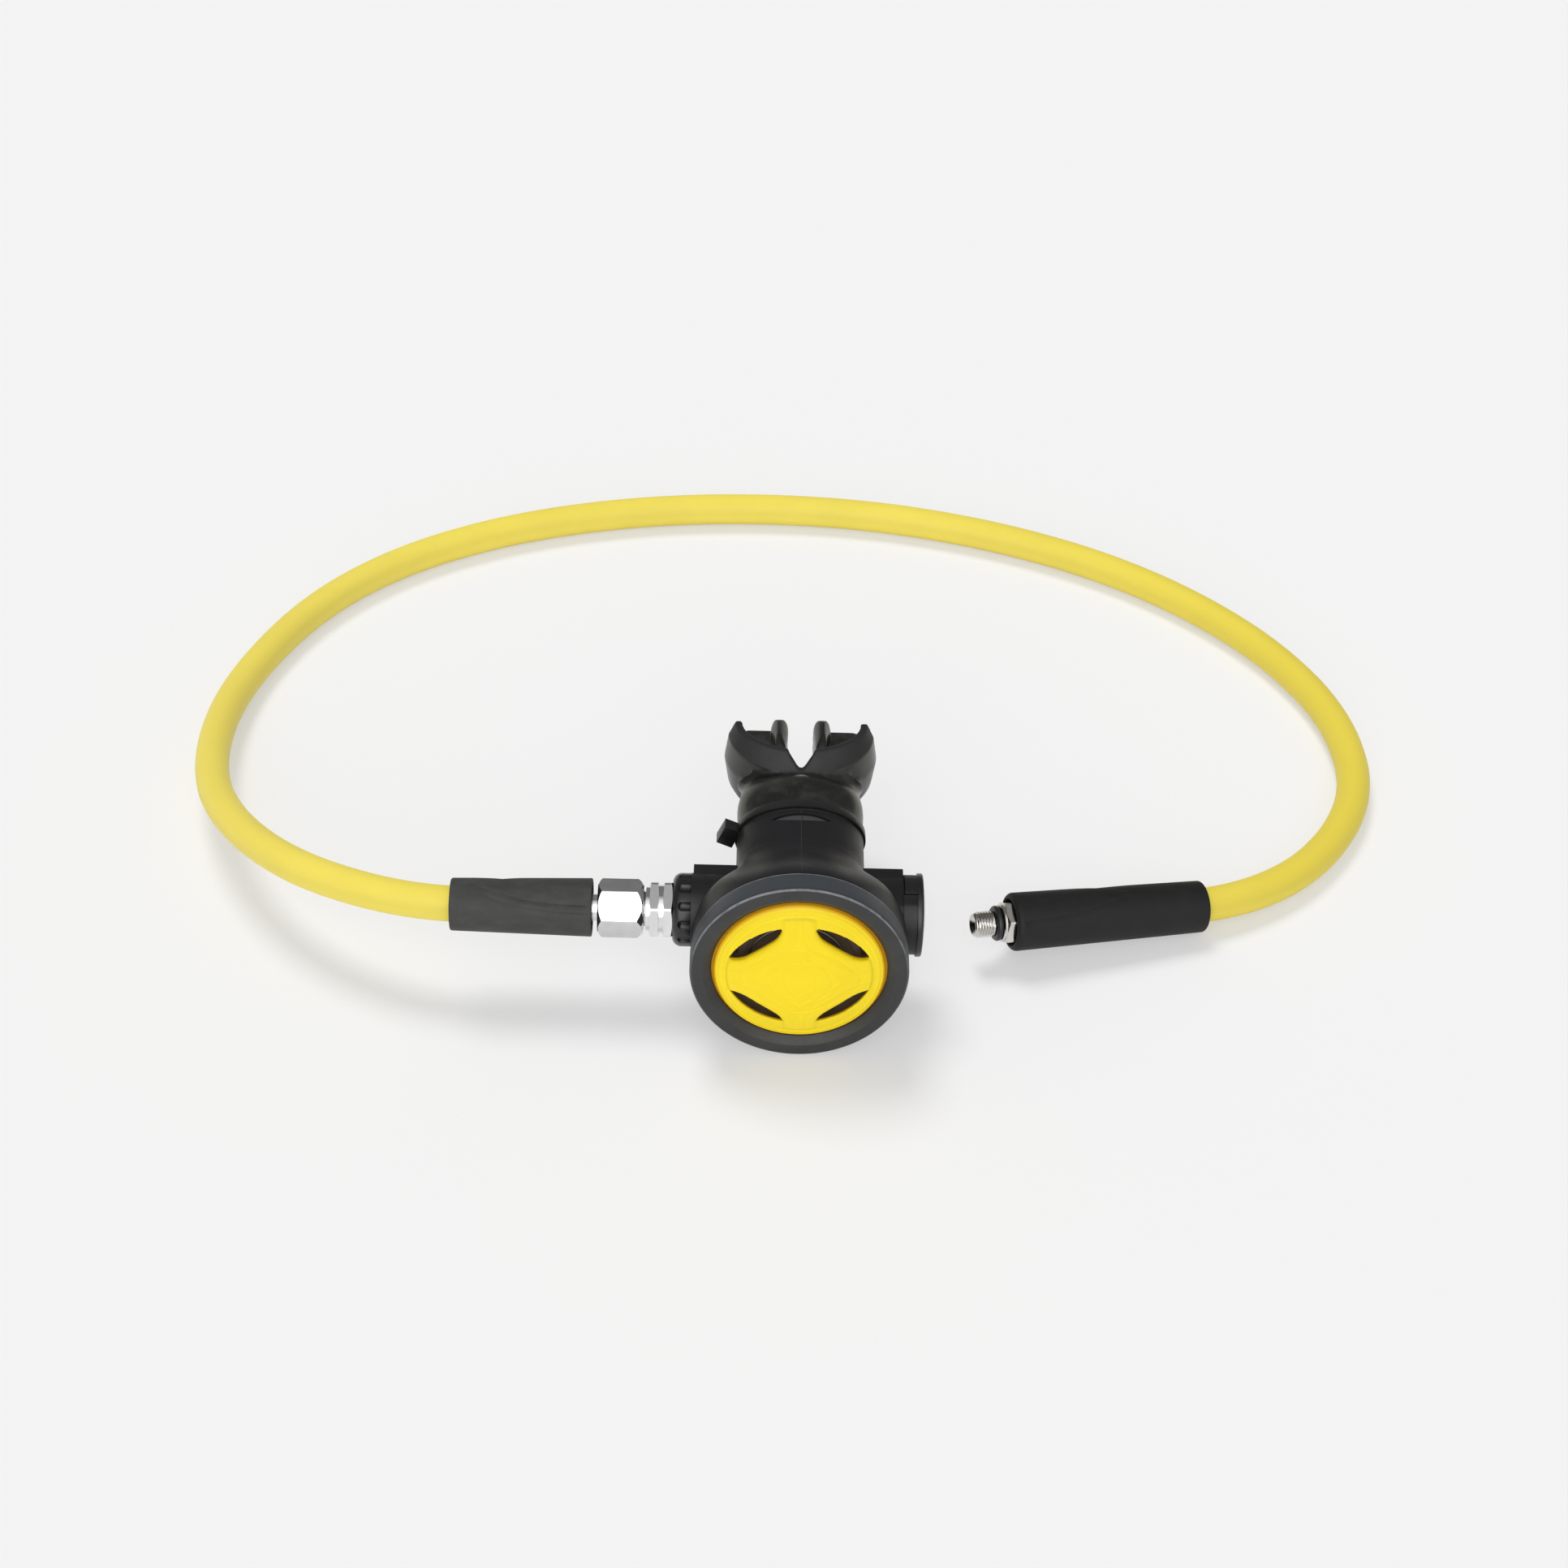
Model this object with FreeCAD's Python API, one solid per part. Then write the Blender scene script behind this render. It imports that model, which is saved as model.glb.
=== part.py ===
import FreeCAD, Part
import math
import os

from FreeCAD import Vector

# Spare second stage of a scuba regulator with its low-pressure hose, in millimetres.
# Working axes: X along the valve tube towards the end cap, Y from the purge cover towards the
# mouthpiece, Z up. The working origin lies on the resting surface, under the centre of the
# front ring's face, and every piece is moved at the end so that the origin comes under the
# middle of the regulator's own box.

# Clearances
RUN_GAP = 0.1
REST_GAP = 0.3

# Front ring, screwed on the case
RING_RADIUS = 37.9
RING_DEPTH = 8.6
RING_LIP_DEPTH = 3.2
RING_WALL = 1.5
RING_EDGE_ROUND = 1.2
RING_FACE_WIDTH = 7.5
RING_MOUTH_RADIUS = RING_RADIUS - RING_FACE_WIDTH
RING_BEVEL_WIDTH = 2.8
RING_BEVEL_DEPTH = 2.2
AXIS_HEIGHT = RING_RADIUS

# Case
DRUM_RADIUS = RING_RADIUS - 0.5
DRUM_REAR = 26.0
DRUM_ROUND = 8.0
CASE_WALL = 2.4
LEDGE_WIDTH = 2.5
VALVE_DEPTH = 33.0
HOUSING_RADIUS = 13.0
HOUSING_LEFT_STEP = 0.7
HOUSING_RIGHT_STEP = 1.2
HOUSING_LEFT = -(DRUM_RADIUS + HOUSING_LEFT_STEP)
HOUSING_RIGHT = DRUM_RADIUS - HOUSING_RIGHT_STEP
BACK_PLATE_INSET = 0.6
BACK_PLATE_LEFT = HOUSING_LEFT + BACK_PLATE_INSET
BACK_PLATE_REAR = 44.4
BACK_PLATE_THICKNESS = 8.0
BACK_PLATE_HALF_HEIGHT = 11.4
CAP_NECK_RADIUS = 14.0
CAP_NECK_LENGTH = 4.8
CAVITY_RADIUS = 10.6
CAVITY_LEFT = -17.0
CAVITY_RIGHT = 20.0

# Mouthpiece tube of the case
TUBE_HALF_WIDTH = 22.6
TUBE_HALF_HEIGHT = 15.0
TUBE_RISE = 9.0
TUBE_FRONT = 47.0
TUBE_END = 61.0
TUBE_WALL = 3.2
SPIGOT_LENGTH = 9.5
SPIGOT_STEP = 2.0
THUMB_GROOVE_HALF_LENGTH = 10.8
THUMB_GROOVE_WIDTH = 3.9
THUMB_GROOVE_DEPTH = 0.7

# Exhaust sump under the case
SUMP_TEE_GAP = 0.9
SUMP_RADIUS = 12.6
SUMP_BOTTOM = 18.5
SEAT_THICKNESS = 1.8
SEAT_HUB_RADIUS = 2.8
SEAT_SPOKE_WIDTH = 2.0
SEAT_SPOKES = 4

# Exhaust valve and tee
EXHAUST_DISC_RADIUS = 11.4
EXHAUST_DISC_THICKNESS = 0.9
EXHAUST_STEM_RADIUS = 1.3
TEE_HALF_WIDTH = 34.0
TEE_WALL = 1.8
TEE_FRONT_REACH = 12.8
TEE_REAR_REACH = 18.7
TEE_END_TOP = 19.0
TEE_COLLAR_TOP = 24.0
TEE_CORNER = 6.0

# Purge cover
COVER_SIDE_GAP = 0.75
COVER_RADIUS = RING_MOUTH_RADIUS - COVER_SIDE_GAP
COVER_RIM_DEPTH = 1.9
COVER_RIM_WIDTH = 3.6
COVER_EDGE_DEPTH = 0.3
COVER_CROWN = 4.3
COVER_THICKNESS = 1.8
COVER_FLANGE_HIDDEN = 1.6
COVER_FLANGE_RADIUS = RING_MOUTH_RADIUS + COVER_FLANGE_HIDDEN
COVER_FLANGE_THICKNESS = 1.2
COVER_BOSS_RADIUS = 4.5
COVER_RIM_GROOVE = 0.3
COVER_TURN = -1.8
SLOT_TOP = (5.6, 21.1)
SLOT_RIM = (17.4, 15.7)
SLOT_TIP = (24.3, 7.0)
SLOT_LOW_BEND = (21.2, 7.3)
SLOT_LOW_CORNER = (17.9, 8.9)
SLOT_HIGH_CORNER = (8.8, 15.8)
SLOT_HIGH_BEND = (6.8, 18.1)
CONTOUR_HALF_WIDTH = 21.4
CONTOUR_HALF_HEIGHT = 14.7
INNER_HALF_WIDTH = 11.8
INNER_HALF_HEIGHT = 9.2
DIAMOND_POWER = 1.35
OVAL_POWER = 1.0
CONTOUR_DEPTH = 0.35
CONTOUR_WIDTH = 0.9
PURGE_TRAVEL = 3.0

# Diaphragm and what holds it
RETAINER_THICKNESS = 1.0
RETAINER_RIM_WIDTH = 2.3
RETAINER_HUB_RADIUS = 21.5
RETAINER_HUB_WIDTH = 2.5
RETAINER_SPOKE_WIDTH = 4.0
RETAINER_SPOKES = 4
DIAPHRAGM_BEAD_THICKNESS = 2.0
DIAPHRAGM_SKIN = 0.8
DIAPHRAGM_FOLD = 2.2
PLATE_RADIUS = 12.0
PLATE_THICKNESS = 0.8
PURGE_WIRE = 0.8
PURGE_SPRING_TURNS = 3
PURGE_SPRING_SMALL_RADIUS = 7.0

# Valve tube, fitting and orifice, left to right along X
BARREL_RADIUS = 6.5
BARREL_BORE = 5.2
BARREL_CAP_GAP = 1.5
HEX_FLANGE_FLATS = 18.9
HEX_FLANGE_THICKNESS = 3.35
HEX_GAP = 1.4
HEX_NECK_RADIUS = 8.6
HEX_CHAMFER = 0.3
CORNER_IN_FRONT = 8.0
LOCK_RING_RADIUS = 12.9
LOCK_RING_THICKNESS = 6.4
LOCK_RING_SCALLOPS = 12
LOCK_RING_SCALLOP_RADIUS = 2.1
INLET_THREAD_RADIUS = 7.144
INLET_THREAD_PITCH = 1.411
INLET_THREAD_TURNS = 7
INLET_SHOULDER_RADIUS = 7.9
INLET_SHOULDER_LENGTH = 1.3
INLET_BORE = 3.2
INLET_TUBE_RIGHT = -20.0
ORIFICE_EDGE = -16.2
ORIFICE_LENGTH = 12.0
ORIFICE_BORE = 1.8
POPPET_HEAD_RADIUS = 4.4
POPPET_HEAD_LENGTH = 6.6
POPPET_SEAT_RADIUS = 3.3
POPPET_SEAT_THICKNESS = 2.4
POPPET_STEM_RADIUS = 1.5
WEB_LEFT = 5.0
WEB_THICKNESS = 2.0
POPPET_SPRING_TURNS = 7
POPPET_WIRE = 0.6
POPPET_SPRING_RADIUS = 3.3
LOCK_NUT_FLATS = 5.5
LOCK_NUT_LENGTH = 2.6
O_RING_WIRE_RADIUS = 0.9
O_RING_SQUEEZE = 1.6

# Demand lever
LEVER_PIVOT_X = 11.0
LEVER_PIVOT_Y = 28.5
LEVER_FOOT_X = -2.0
LEVER_SHEET = 1.0
LEVER_WIDTH = 5.2
LEVER_FORK_REACH = 4.6
LEVER_LEG_THICKNESS = 0.9
LEVER_LEG_INSIDE = 1.7
PIVOT_PIN_RADIUS = 0.7
SLOT_HALF_HEIGHT = 2.9
SLOT_RIGHT = 16.5

# End cap
CAP_RADIUS = 14.7
CAP_THICKNESS = 2.9
CAP_DOME = 0.8
CAP_KEY_ANGLE = 19.0
CAP_KEY_DEPTH = 2.5
CAP_KEY_STEP = 0.2
CAP_PLUG_LENGTH = 6.5
CAP_PLUG_CHAMFER = 0.5
CAP_EDGE_ROUND = 0.6
CAP_CROWN_RADIUS = 0.8
CAP_GROOVE_START = 4.0
CAP_GROOVE_WIDTH = 2.0

# Mouthpiece
NECK_SIDE_WALL = 1.7
NECK_TOP_WALL = 1.9
NECK_HALF_WIDTH = TUBE_HALF_WIDTH - SPIGOT_STEP + NECK_SIDE_WALL
NECK_HALF_HEIGHT = TUBE_HALF_HEIGHT - SPIGOT_STEP + NECK_TOP_WALL
NECK_BULGE = 0.3
NECK_BULGE_LENGTH = 11.0
NECK_STRAIGHT_LENGTH = 19.0
TIE_SEAT = 6.0
SHIELD_RISE = 2.0
SHIELD_FRONT = 85.6
SHIELD_END = 109.5
SHIELD_HALF_WIDTH = 28.0
SHIELD_HALF_HEIGHT = 15.4
SHIELD_CREASE = 9.5
SHIELD_LEAN = 5.7
SHIELD_THICKNESS = 2.6
AIRWAY_HALF_WIDTH = 16.5
AIRWAY_HALF_HEIGHT = 8.2
NOTCH_HALF_WIDTH = 5.6
NOTCH_DEPTH = 4.9
NOTCH_LENGTH = 14.0
BITE_REAR = 122.5
BITE_INNER = 4.6
BITE_OUTER = 24.0
BITE_CURVE_LENGTH = 18.0
BITE_THICKNESS = 2.6
LUG_HALF_HEIGHT = 9.4
LUG_THICKNESS = 3.0
LUG_SPREAD = 6.4
LUG_WAIST_INSET = 0.9

# Cable tie
TIE_WIDTH = 3.6
TIE_THICKNESS = 1.1
TIE_HEAD = (6.0, 5.2, 7.6)
TIE_HEAD_TURN = 24.0
TIE_OFFSET = 0.9

# Hose, 12.8 mm over its cover
HOSE_RADIUS = 6.4
HOSE_BORE = 3.2

# Corner points of the hose, from inside the inlet sleeve round to inside the free sleeve
HOSE_ROUTE = [
    (-79.0, 33.0, 37.9),
    (-105.0, 33.0, 37.9),
    (-131.0, 33.5, 37.7),
    (-156.8, 42.0, 36.2),
    (-183.8, 59.6, 32.5),
    (-206.8, 88.1, 26.2),
    (-222.0, 125.6, 17.5),
    (-225.2, 173.1, 10.1),
    (-216.7, 215.5, 6.5),
    (-196.5, 257.5, 6.4),
    (-166.8, 289.8, 6.4),
    (-128.7, 313.4, 6.4),
    (-86.6, 328.2, 6.4),
    (-42.9, 335.9, 6.4),
    (3.5, 336.8, 6.4),
    (47.0, 331.1, 6.4),
    (90.0, 318.3, 6.4),
    (130.5, 298.5, 6.4),
    (165.5, 271.6, 6.4),
    (194.6, 237.6, 6.4),
    (214.4, 195.9, 6.4),
    (217.5, 148.2, 6.4),
    (196.4, 106.1, 6.4),
    (164.1, 79.6, 8.4),
    (121.3, 67.6, 12.3),
    (82.8, 57.3, 15.8),
]
ARC_SHARE = 0.45

# Hose fittings
FERRULE_WALL = 1.9
FERRULE_LENGTH = 24.0
FERRULE_CAP = 1.5
STEM_NECK_RADIUS = 4.85
STEM_SHOULDER_RADIUS = 6.0
STEM_BORE = 2.2
STEM_NOSE_RADIUS = 4.35
STEM_COLLAR_RADIUS = 6.4
NUT_FLATS = 18.3
NUT_LENGTH = 16.1
NUT_GAP = 2.1
NUT_TURN = 44.0
SLEEVE_HOSE_GAP = 0.1
SLEEVE_MOUTH_GAP = 0.7
INLET_SLEEVE_LENGTH = 50.7
INLET_SLEEVE_HOSE_RADIUS = 9.3
INLET_SLEEVE_NUT_RADIUS = 10.3
INLET_SLEEVE_GAP = 2.0
INLET_SLEEVE_ROUND = 0.6
FREE_SLEEVE_START = 14.0
FREE_SLEEVE_LENGTH = 75.0
FREE_SLEEVE_FITTING_RADIUS = 10.6
FREE_SLEEVE_HOSE_RADIUS = 9.5
FREE_SLEEVE_ROUND = 2.0

# Free end fitting, with a 3/8 inch 24 thread for a low-pressure port
FREE_TIP_TO_HOSE = 20.5
PORT_THREAD_RADIUS = 4.7625
PORT_THREAD_PITCH = 1.058
PORT_THREAD_TURNS = 7
PORT_BORE = 1.9
PORT_MOUTH_RADIUS = 3.4
PORT_GROOVE_LENGTH = 2.4
PORT_COLLAR_RADIUS = 6.8
PORT_COLLAR_LENGTH = 1.0
PORT_HEX_FLATS = 14.3
PORT_HEX_LENGTH = 5.4
PORT_O_RING_WIRE_RADIUS = 1.15
THREAD_CREST = 0.3
THREAD_DEPTH_SHARE = 0.61

# Places that follow from the sizes above
AXIS = Vector(0, 0, AXIS_HEIGHT)
TUBE_AXIS_HEIGHT = AXIS_HEIGHT + TUBE_RISE
SUMP_DEPTH = DRUM_REAR + SUMP_TEE_GAP + SUMP_RADIUS + TEE_WALL
TEE_END_FRONT = SUMP_DEPTH - TEE_FRONT_REACH
TEE_END_REAR = SUMP_DEPTH + TEE_REAR_REACH
SPIGOT_BORE_HALF_WIDTH = TUBE_HALF_WIDTH - SPIGOT_STEP - TUBE_WALL
SPIGOT_BORE_HALF_HEIGHT = TUBE_HALF_HEIGHT - SPIGOT_STEP - TUBE_WALL
COLLAR_RADIUS = RING_RADIUS - RING_WALL - RUN_GAP
COLLAR_BORE = COLLAR_RADIUS - CASE_WALL
FLANGE_FRONT = RING_LIP_DEPTH + REST_GAP
RETAINER_FRONT = FLANGE_FRONT + COVER_FLANGE_THICKNESS + PURGE_TRAVEL + REST_GAP
BEAD_FRONT = RETAINER_FRONT + RETAINER_THICKNESS
LEDGE_DEPTH = BEAD_FRONT + DIAPHRAGM_BEAD_THICKNESS
BOSS_END = BEAD_FRONT + 0.6
SKIN_FRONT = BOSS_END + REST_GAP
PLATE_FRONT = SKIN_FRONT + DIAPHRAGM_SKIN
LEVER_FOOT_Y = PLATE_FRONT + PLATE_THICKNESS + REST_GAP + LEVER_SHEET
LOCK_RING_LEFT = HOUSING_LEFT - LOCK_RING_THICKNESS
BARREL_HEX_LEFT = LOCK_RING_LEFT - HEX_FLANGE_THICKNESS
INLET_HEX_RIGHT = BARREL_HEX_LEFT - HEX_GAP
INLET_HEX_LEFT = INLET_HEX_RIGHT - HEX_FLANGE_THICKNESS
INLET_THREAD_LEFT = INLET_HEX_LEFT - INLET_THREAD_PITCH * (INLET_THREAD_TURNS + 1)
STEM_COLLAR_RIGHT = INLET_THREAD_LEFT - RUN_GAP
NUT_RIGHT = INLET_HEX_LEFT - NUT_GAP
NUT_LEFT = NUT_RIGHT - NUT_LENGTH
SLEEVE_RIGHT = NUT_LEFT - INLET_SLEEVE_GAP
SLEEVE_LEFT = SLEEVE_RIGHT - INLET_SLEEVE_LENGTH
CAP_LEFT = HOUSING_RIGHT + CAP_NECK_LENGTH
CAP_RIGHT = CAP_LEFT + CAP_THICKNESS
BARREL_RIGHT = CAP_LEFT - CAP_PLUG_LENGTH - BARREL_CAP_GAP
COVER_FRONT = COVER_EDGE_DEPTH - COVER_CROWN
SHIELD_AXIS_HEIGHT = TUBE_AXIS_HEIGHT + SHIELD_RISE
ORIGIN_SHIFT = Vector(-(INLET_THREAD_LEFT + CAP_RIGHT) / 2, -(COVER_FRONT + BITE_REAR) / 2, 0)
VALVE_AXIS = Vector(0, VALVE_DEPTH, AXIS_HEIGHT)
FREE_HOSE_END = Vector(*HOSE_ROUTE[-1])
FREE_DIRECTION = (Vector(*HOSE_ROUTE[-2]) - FREE_HOSE_END).normalize()
FREE_TIP = FREE_HOSE_END - FREE_DIRECTION * FREE_TIP_TO_HOSE

ALONG_X = Vector(1, 0, 0)
ALONG_Y = Vector(0, 1, 0)
ALONG_Z = Vector(0, 0, 1)


def outline(place, steps):
    """Closed wire; a step is the end of a line, or the middle and the end of an arc."""
    start = place(*steps[0])
    here = start
    edges = []
    for step in steps[1:]:
        if isinstance(step[0], tuple):
            end = place(*step[1])
            edges.append(Part.Arc(here, place(*step[0]), end).toShape())
        else:
            end = place(*step)
            edges.append(Part.LineSegment(here, end).toShape())
        here = end
    if here.distanceToPoint(start) > 1e-6:
        edges.append(Part.LineSegment(here, start).toShape())
    return Part.Wire(edges)


def turned_x(steps, centre=VALVE_AXIS):
    """Solid turned about an X axis from steps of (x, radius)."""
    wire = outline(lambda x, r: Vector(x, centre.y, centre.z + r), steps)
    return Part.Face(wire).revolve(centre, ALONG_X, 360)


def turned_y(steps, height=AXIS_HEIGHT):
    """Solid turned about a Y axis from steps of (y, radius)."""
    wire = outline(lambda y, r: Vector(r, y, height), steps)
    return Part.Face(wire).revolve(Vector(0, 0, height), ALONG_Y, 360)


def turned_z(steps, x, y):
    """Solid turned about a Z axis from steps of (z, radius)."""
    wire = outline(lambda z, r: Vector(x + r, y, z), steps)
    return Part.Face(wire).revolve(Vector(x, y, 0), ALONG_Z, 360)


def rod_x(left, right, radius, centre=VALVE_AXIS):
    return Part.makeCylinder(radius, right - left, Vector(left, centre.y, centre.z), ALONG_X)


def box(low, high):
    return Part.makeBox(high[0] - low[0], high[1] - low[1], high[2] - low[2], Vector(*low))


def oval(y, half_width, half_height, height):
    """Oval wire across Y, wider than it is high."""
    edge = Part.Ellipse(Vector(0, 0, 0), half_width, half_height).toShape()
    edge.Placement = FreeCAD.Placement(Vector(0, y, height), FreeCAD.Rotation(ALONG_X, 90))
    return Part.Wire([edge])


def oval_loft(sections):
    """Solid through ovals given as (y, half width, half height, height of the centre)."""
    return Part.makeLoft([oval(*section) for section in sections], True, False)


def oval_tube(front, rear, half_width, half_height, height):
    return Part.Face(oval(front, half_width, half_height, height)).extrude(Vector(0, rear - front, 0))


def hexagon(flats, left, right, turn, chamfer):
    """Hexagonal prism along X on the valve axis; turn 0 has a flat face in front."""
    corner = flats / math.sqrt(3)
    points = []
    for index in range(7):
        angle = math.radians(60 * index + 30 + turn)
        points.append(VALVE_AXIS + Vector(left, -corner * math.cos(angle), corner * math.sin(angle)))
    prism = Part.Face(Part.makePolygon(points)).extrude(Vector(right - left, 0, 0))
    if chamfer <= 0:
        return prism
    slope = math.tan(math.radians(30))
    drop = corner - flats / 2 + chamfer
    envelope = turned_x([
        (left, 0),
        (left, corner - drop),
        (left + drop * slope, corner),
        (right - drop * slope, corner),
        (right, corner - drop),
        (right, 0),
    ])
    return prism.common(envelope)


def thread_steps(start, turns, pitch, crest_radius, root_radius):
    """Steps of (x, radius) over ring-shaped crests that stand in for a thread's helix."""
    slope = (pitch - 2 * THREAD_CREST) / 2
    steps = []
    x = start
    for _ in range(turns):
        steps.append((x, root_radius))
        steps.append((x + slope, crest_radius))
        steps.append((x + slope + THREAD_CREST, crest_radius))
        steps.append((x + 2 * slope + THREAD_CREST, root_radius))
        x += pitch
    return steps


def ring_seal(x, ring_radius, wire_radius, centre=VALVE_AXIS):
    return Part.makeTorus(ring_radius, wire_radius, Vector(x, centre.y, centre.z), ALONG_X)


def front_ring():
    round_middle = RING_EDGE_ROUND * (1 - math.sqrt(0.5))
    skirt_bore = RING_RADIUS - RING_WALL
    return turned_y([
        (0, RING_MOUTH_RADIUS + RING_BEVEL_WIDTH),
        (0, RING_RADIUS - RING_EDGE_ROUND),
        ((round_middle, RING_RADIUS - round_middle), (RING_EDGE_ROUND, RING_RADIUS)),
        (RING_DEPTH, RING_RADIUS),
        (RING_DEPTH, skirt_bore),
        (RING_LIP_DEPTH, skirt_bore),
        (RING_LIP_DEPTH, RING_MOUTH_RADIUS),
        (RING_BEVEL_DEPTH, RING_MOUTH_RADIUS),
    ])


def cover_dome(depth_offset, radius):
    """Depth of the domed cover's face at a radius, on the arc from the rim to the crown."""
    rim = COVER_RADIUS - COVER_RIM_WIDTH
    sphere = (rim * rim + COVER_CROWN * COVER_CROWN) / (2 * COVER_CROWN)
    return COVER_FRONT + depth_offset + sphere - math.sqrt(sphere * sphere - radius * radius)


def lens_slot(side_x, side_z):
    """Cutter for one lens-shaped slot, between an upright arm and a level arm of the cover."""
    wire = outline(
        lambda x, z: Vector(side_x * x, COVER_FRONT - 1, AXIS_HEIGHT + side_z * z),
        [SLOT_TOP, (SLOT_RIM, SLOT_TIP), (SLOT_LOW_BEND, SLOT_LOW_CORNER),
         SLOT_HIGH_CORNER, (SLOT_HIGH_BEND, SLOT_TOP)])
    slot = Part.Face(wire).extrude(Vector(0, COVER_CROWN + COVER_THICKNESS + 1.4, 0))
    slot.rotate(AXIS, ALONG_Y, COVER_TURN)
    return slot


def contour_cutter(half_width, half_height, power):
    """Wall between two rounded diamonds; power 1 gives an oval, and more draws the sides in."""
    def diamond(grow):
        a = half_width + grow
        b = half_height + grow
        points = []
        for index in range(8):
            angle = math.radians(45 * index)
            c = math.cos(angle)
            s = math.sin(angle)
            x = math.copysign(abs(c) ** power, c) * a
            z = math.copysign(abs(s) ** power, s) * b
            points.append(Vector(x, COVER_FRONT - 1, AXIS_HEIGHT + z))
        curve = Part.BSplineCurve()
        curve.interpolate(Points=points, PeriodicFlag=True)
        return Part.Face(Part.Wire([curve.toShape()]))

    ring = diamond(0).cut(diamond(-CONTOUR_WIDTH))
    wall = ring.extrude(Vector(0, COVER_CROWN + 1, 0))
    wall.rotate(AXIS, ALONG_Y, COVER_TURN)
    return wall


def purge_cover():
    rim = COVER_RADIUS - COVER_RIM_WIDTH
    flange_rear = FLANGE_FRONT + COVER_FLANGE_THICKNESS
    flange_inner = COVER_RADIUS - COVER_THICKNESS
    cover = turned_y([
        (COVER_FRONT, 0),
        ((cover_dome(0, rim / 2), rim / 2), (COVER_EDGE_DEPTH, rim)),
        (COVER_EDGE_DEPTH + COVER_RIM_GROOVE, rim + 0.2),
        (COVER_EDGE_DEPTH + COVER_RIM_GROOVE, rim + 0.5),
        ((COVER_EDGE_DEPTH + 0.6, COVER_RADIUS - 1.2), (COVER_RIM_DEPTH, COVER_RADIUS)),
        (FLANGE_FRONT, COVER_RADIUS),
        (FLANGE_FRONT, COVER_FLANGE_RADIUS),
        (flange_rear, COVER_FLANGE_RADIUS),
        (flange_rear, flange_inner),
        (COVER_RIM_DEPTH + COVER_THICKNESS, flange_inner),
        (COVER_EDGE_DEPTH + COVER_THICKNESS, rim),
        ((cover_dome(COVER_THICKNESS, rim / 2), rim / 2), (COVER_FRONT + COVER_THICKNESS, 0)),
    ])
    boss = Part.makeCylinder(
        COVER_BOSS_RADIUS, BOSS_END - COVER_FRONT - 1.0, Vector(0, COVER_FRONT + 1.0, AXIS_HEIGHT), ALONG_Y)
    cover = cover.fuse(boss)
    for side_x in (-1, 1):
        for side_z in (-1, 1):
            cover = cover.cut(lens_slot(side_x, side_z))
    skin = turned_y([
        (COVER_FRONT - 1, 0),
        (COVER_FRONT + CONTOUR_DEPTH, 0),
        (
            (cover_dome(CONTOUR_DEPTH, rim / 2), rim / 2),
            (cover_dome(CONTOUR_DEPTH, rim - 1), rim - 1),
        ),
        (COVER_FRONT - 1, rim - 1),
    ])
    outer = contour_cutter(CONTOUR_HALF_WIDTH, CONTOUR_HALF_HEIGHT, DIAMOND_POWER)
    inner = contour_cutter(INNER_HALF_WIDTH, INNER_HALF_HEIGHT, OVAL_POWER)
    cover = cover.cut(outer.common(skin)).cut(inner.common(skin))
    return cover.removeSplitter()


def purge_spring():
    """Conical spring whose turns can nest, from the cover's boss out to the retainer's hub."""
    large = RETAINER_HUB_RADIUS - RETAINER_HUB_WIDTH / 2
    start_y = COVER_FRONT + COVER_THICKNESS + PURGE_WIRE / 2 + 0.6
    end_y = RETAINER_FRONT - PURGE_WIRE / 2
    return coil(
        lambda share: Vector(0, start_y + (end_y - start_y) * share, AXIS_HEIGHT),
        lambda share: PURGE_SPRING_SMALL_RADIUS + (large - PURGE_SPRING_SMALL_RADIUS) * share,
        Vector(1, 0, 0), Vector(0, 0, 1), PURGE_SPRING_TURNS, PURGE_WIRE / 2)


def coil(centre, radius, across, up, turns, wire_radius):
    """Wire wound round a line, as a pipe along arcs of a quarter turn."""
    def point(turn):
        share = turn / turns
        angle = 2 * math.pi * turn
        reach = radius(share)
        return centre(share) + across * (reach * math.cos(angle)) + up * (reach * math.sin(angle))

    edges = []
    for index in range(4 * turns):
        start = point(index / 4)
        middle = point((index + 0.5) / 4)
        end = point((index + 1) / 4)
        edges.append(Part.Arc(start, middle, end).toShape())
    path = Part.Wire(edges)
    first = edges[0]
    tangent = first.tangentAt(first.FirstParameter)
    section = Part.Wire([Part.makeCircle(wire_radius, point(0), tangent)])
    return path.makePipeShell([section], True, False)


def diaphragm_retainer():
    outer = COLLAR_BORE - RUN_GAP
    rear = RETAINER_FRONT + RETAINER_THICKNESS
    rim = turned_y([
        (RETAINER_FRONT, outer - RETAINER_RIM_WIDTH),
        (RETAINER_FRONT, outer),
        (rear, outer),
        (rear, outer - RETAINER_RIM_WIDTH),
    ])
    hub = turned_y([
        (RETAINER_FRONT, RETAINER_HUB_RADIUS - RETAINER_HUB_WIDTH),
        (RETAINER_FRONT, RETAINER_HUB_RADIUS),
        (rear, RETAINER_HUB_RADIUS),
        (rear, RETAINER_HUB_RADIUS - RETAINER_HUB_WIDTH),
    ])
    retainer = rim.fuse(hub)
    reach = outer - RETAINER_RIM_WIDTH / 2
    inside = RETAINER_HUB_RADIUS - RETAINER_HUB_WIDTH / 2
    half = RETAINER_SPOKE_WIDTH / 2
    for index in range(RETAINER_SPOKES):
        spoke = box((inside, RETAINER_FRONT, AXIS_HEIGHT - half), (reach, rear, AXIS_HEIGHT + half))
        spoke.rotate(AXIS, ALONG_Y, 360 / RETAINER_SPOKES * index)
        retainer = retainer.fuse(spoke)
    return retainer.removeSplitter()


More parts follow.
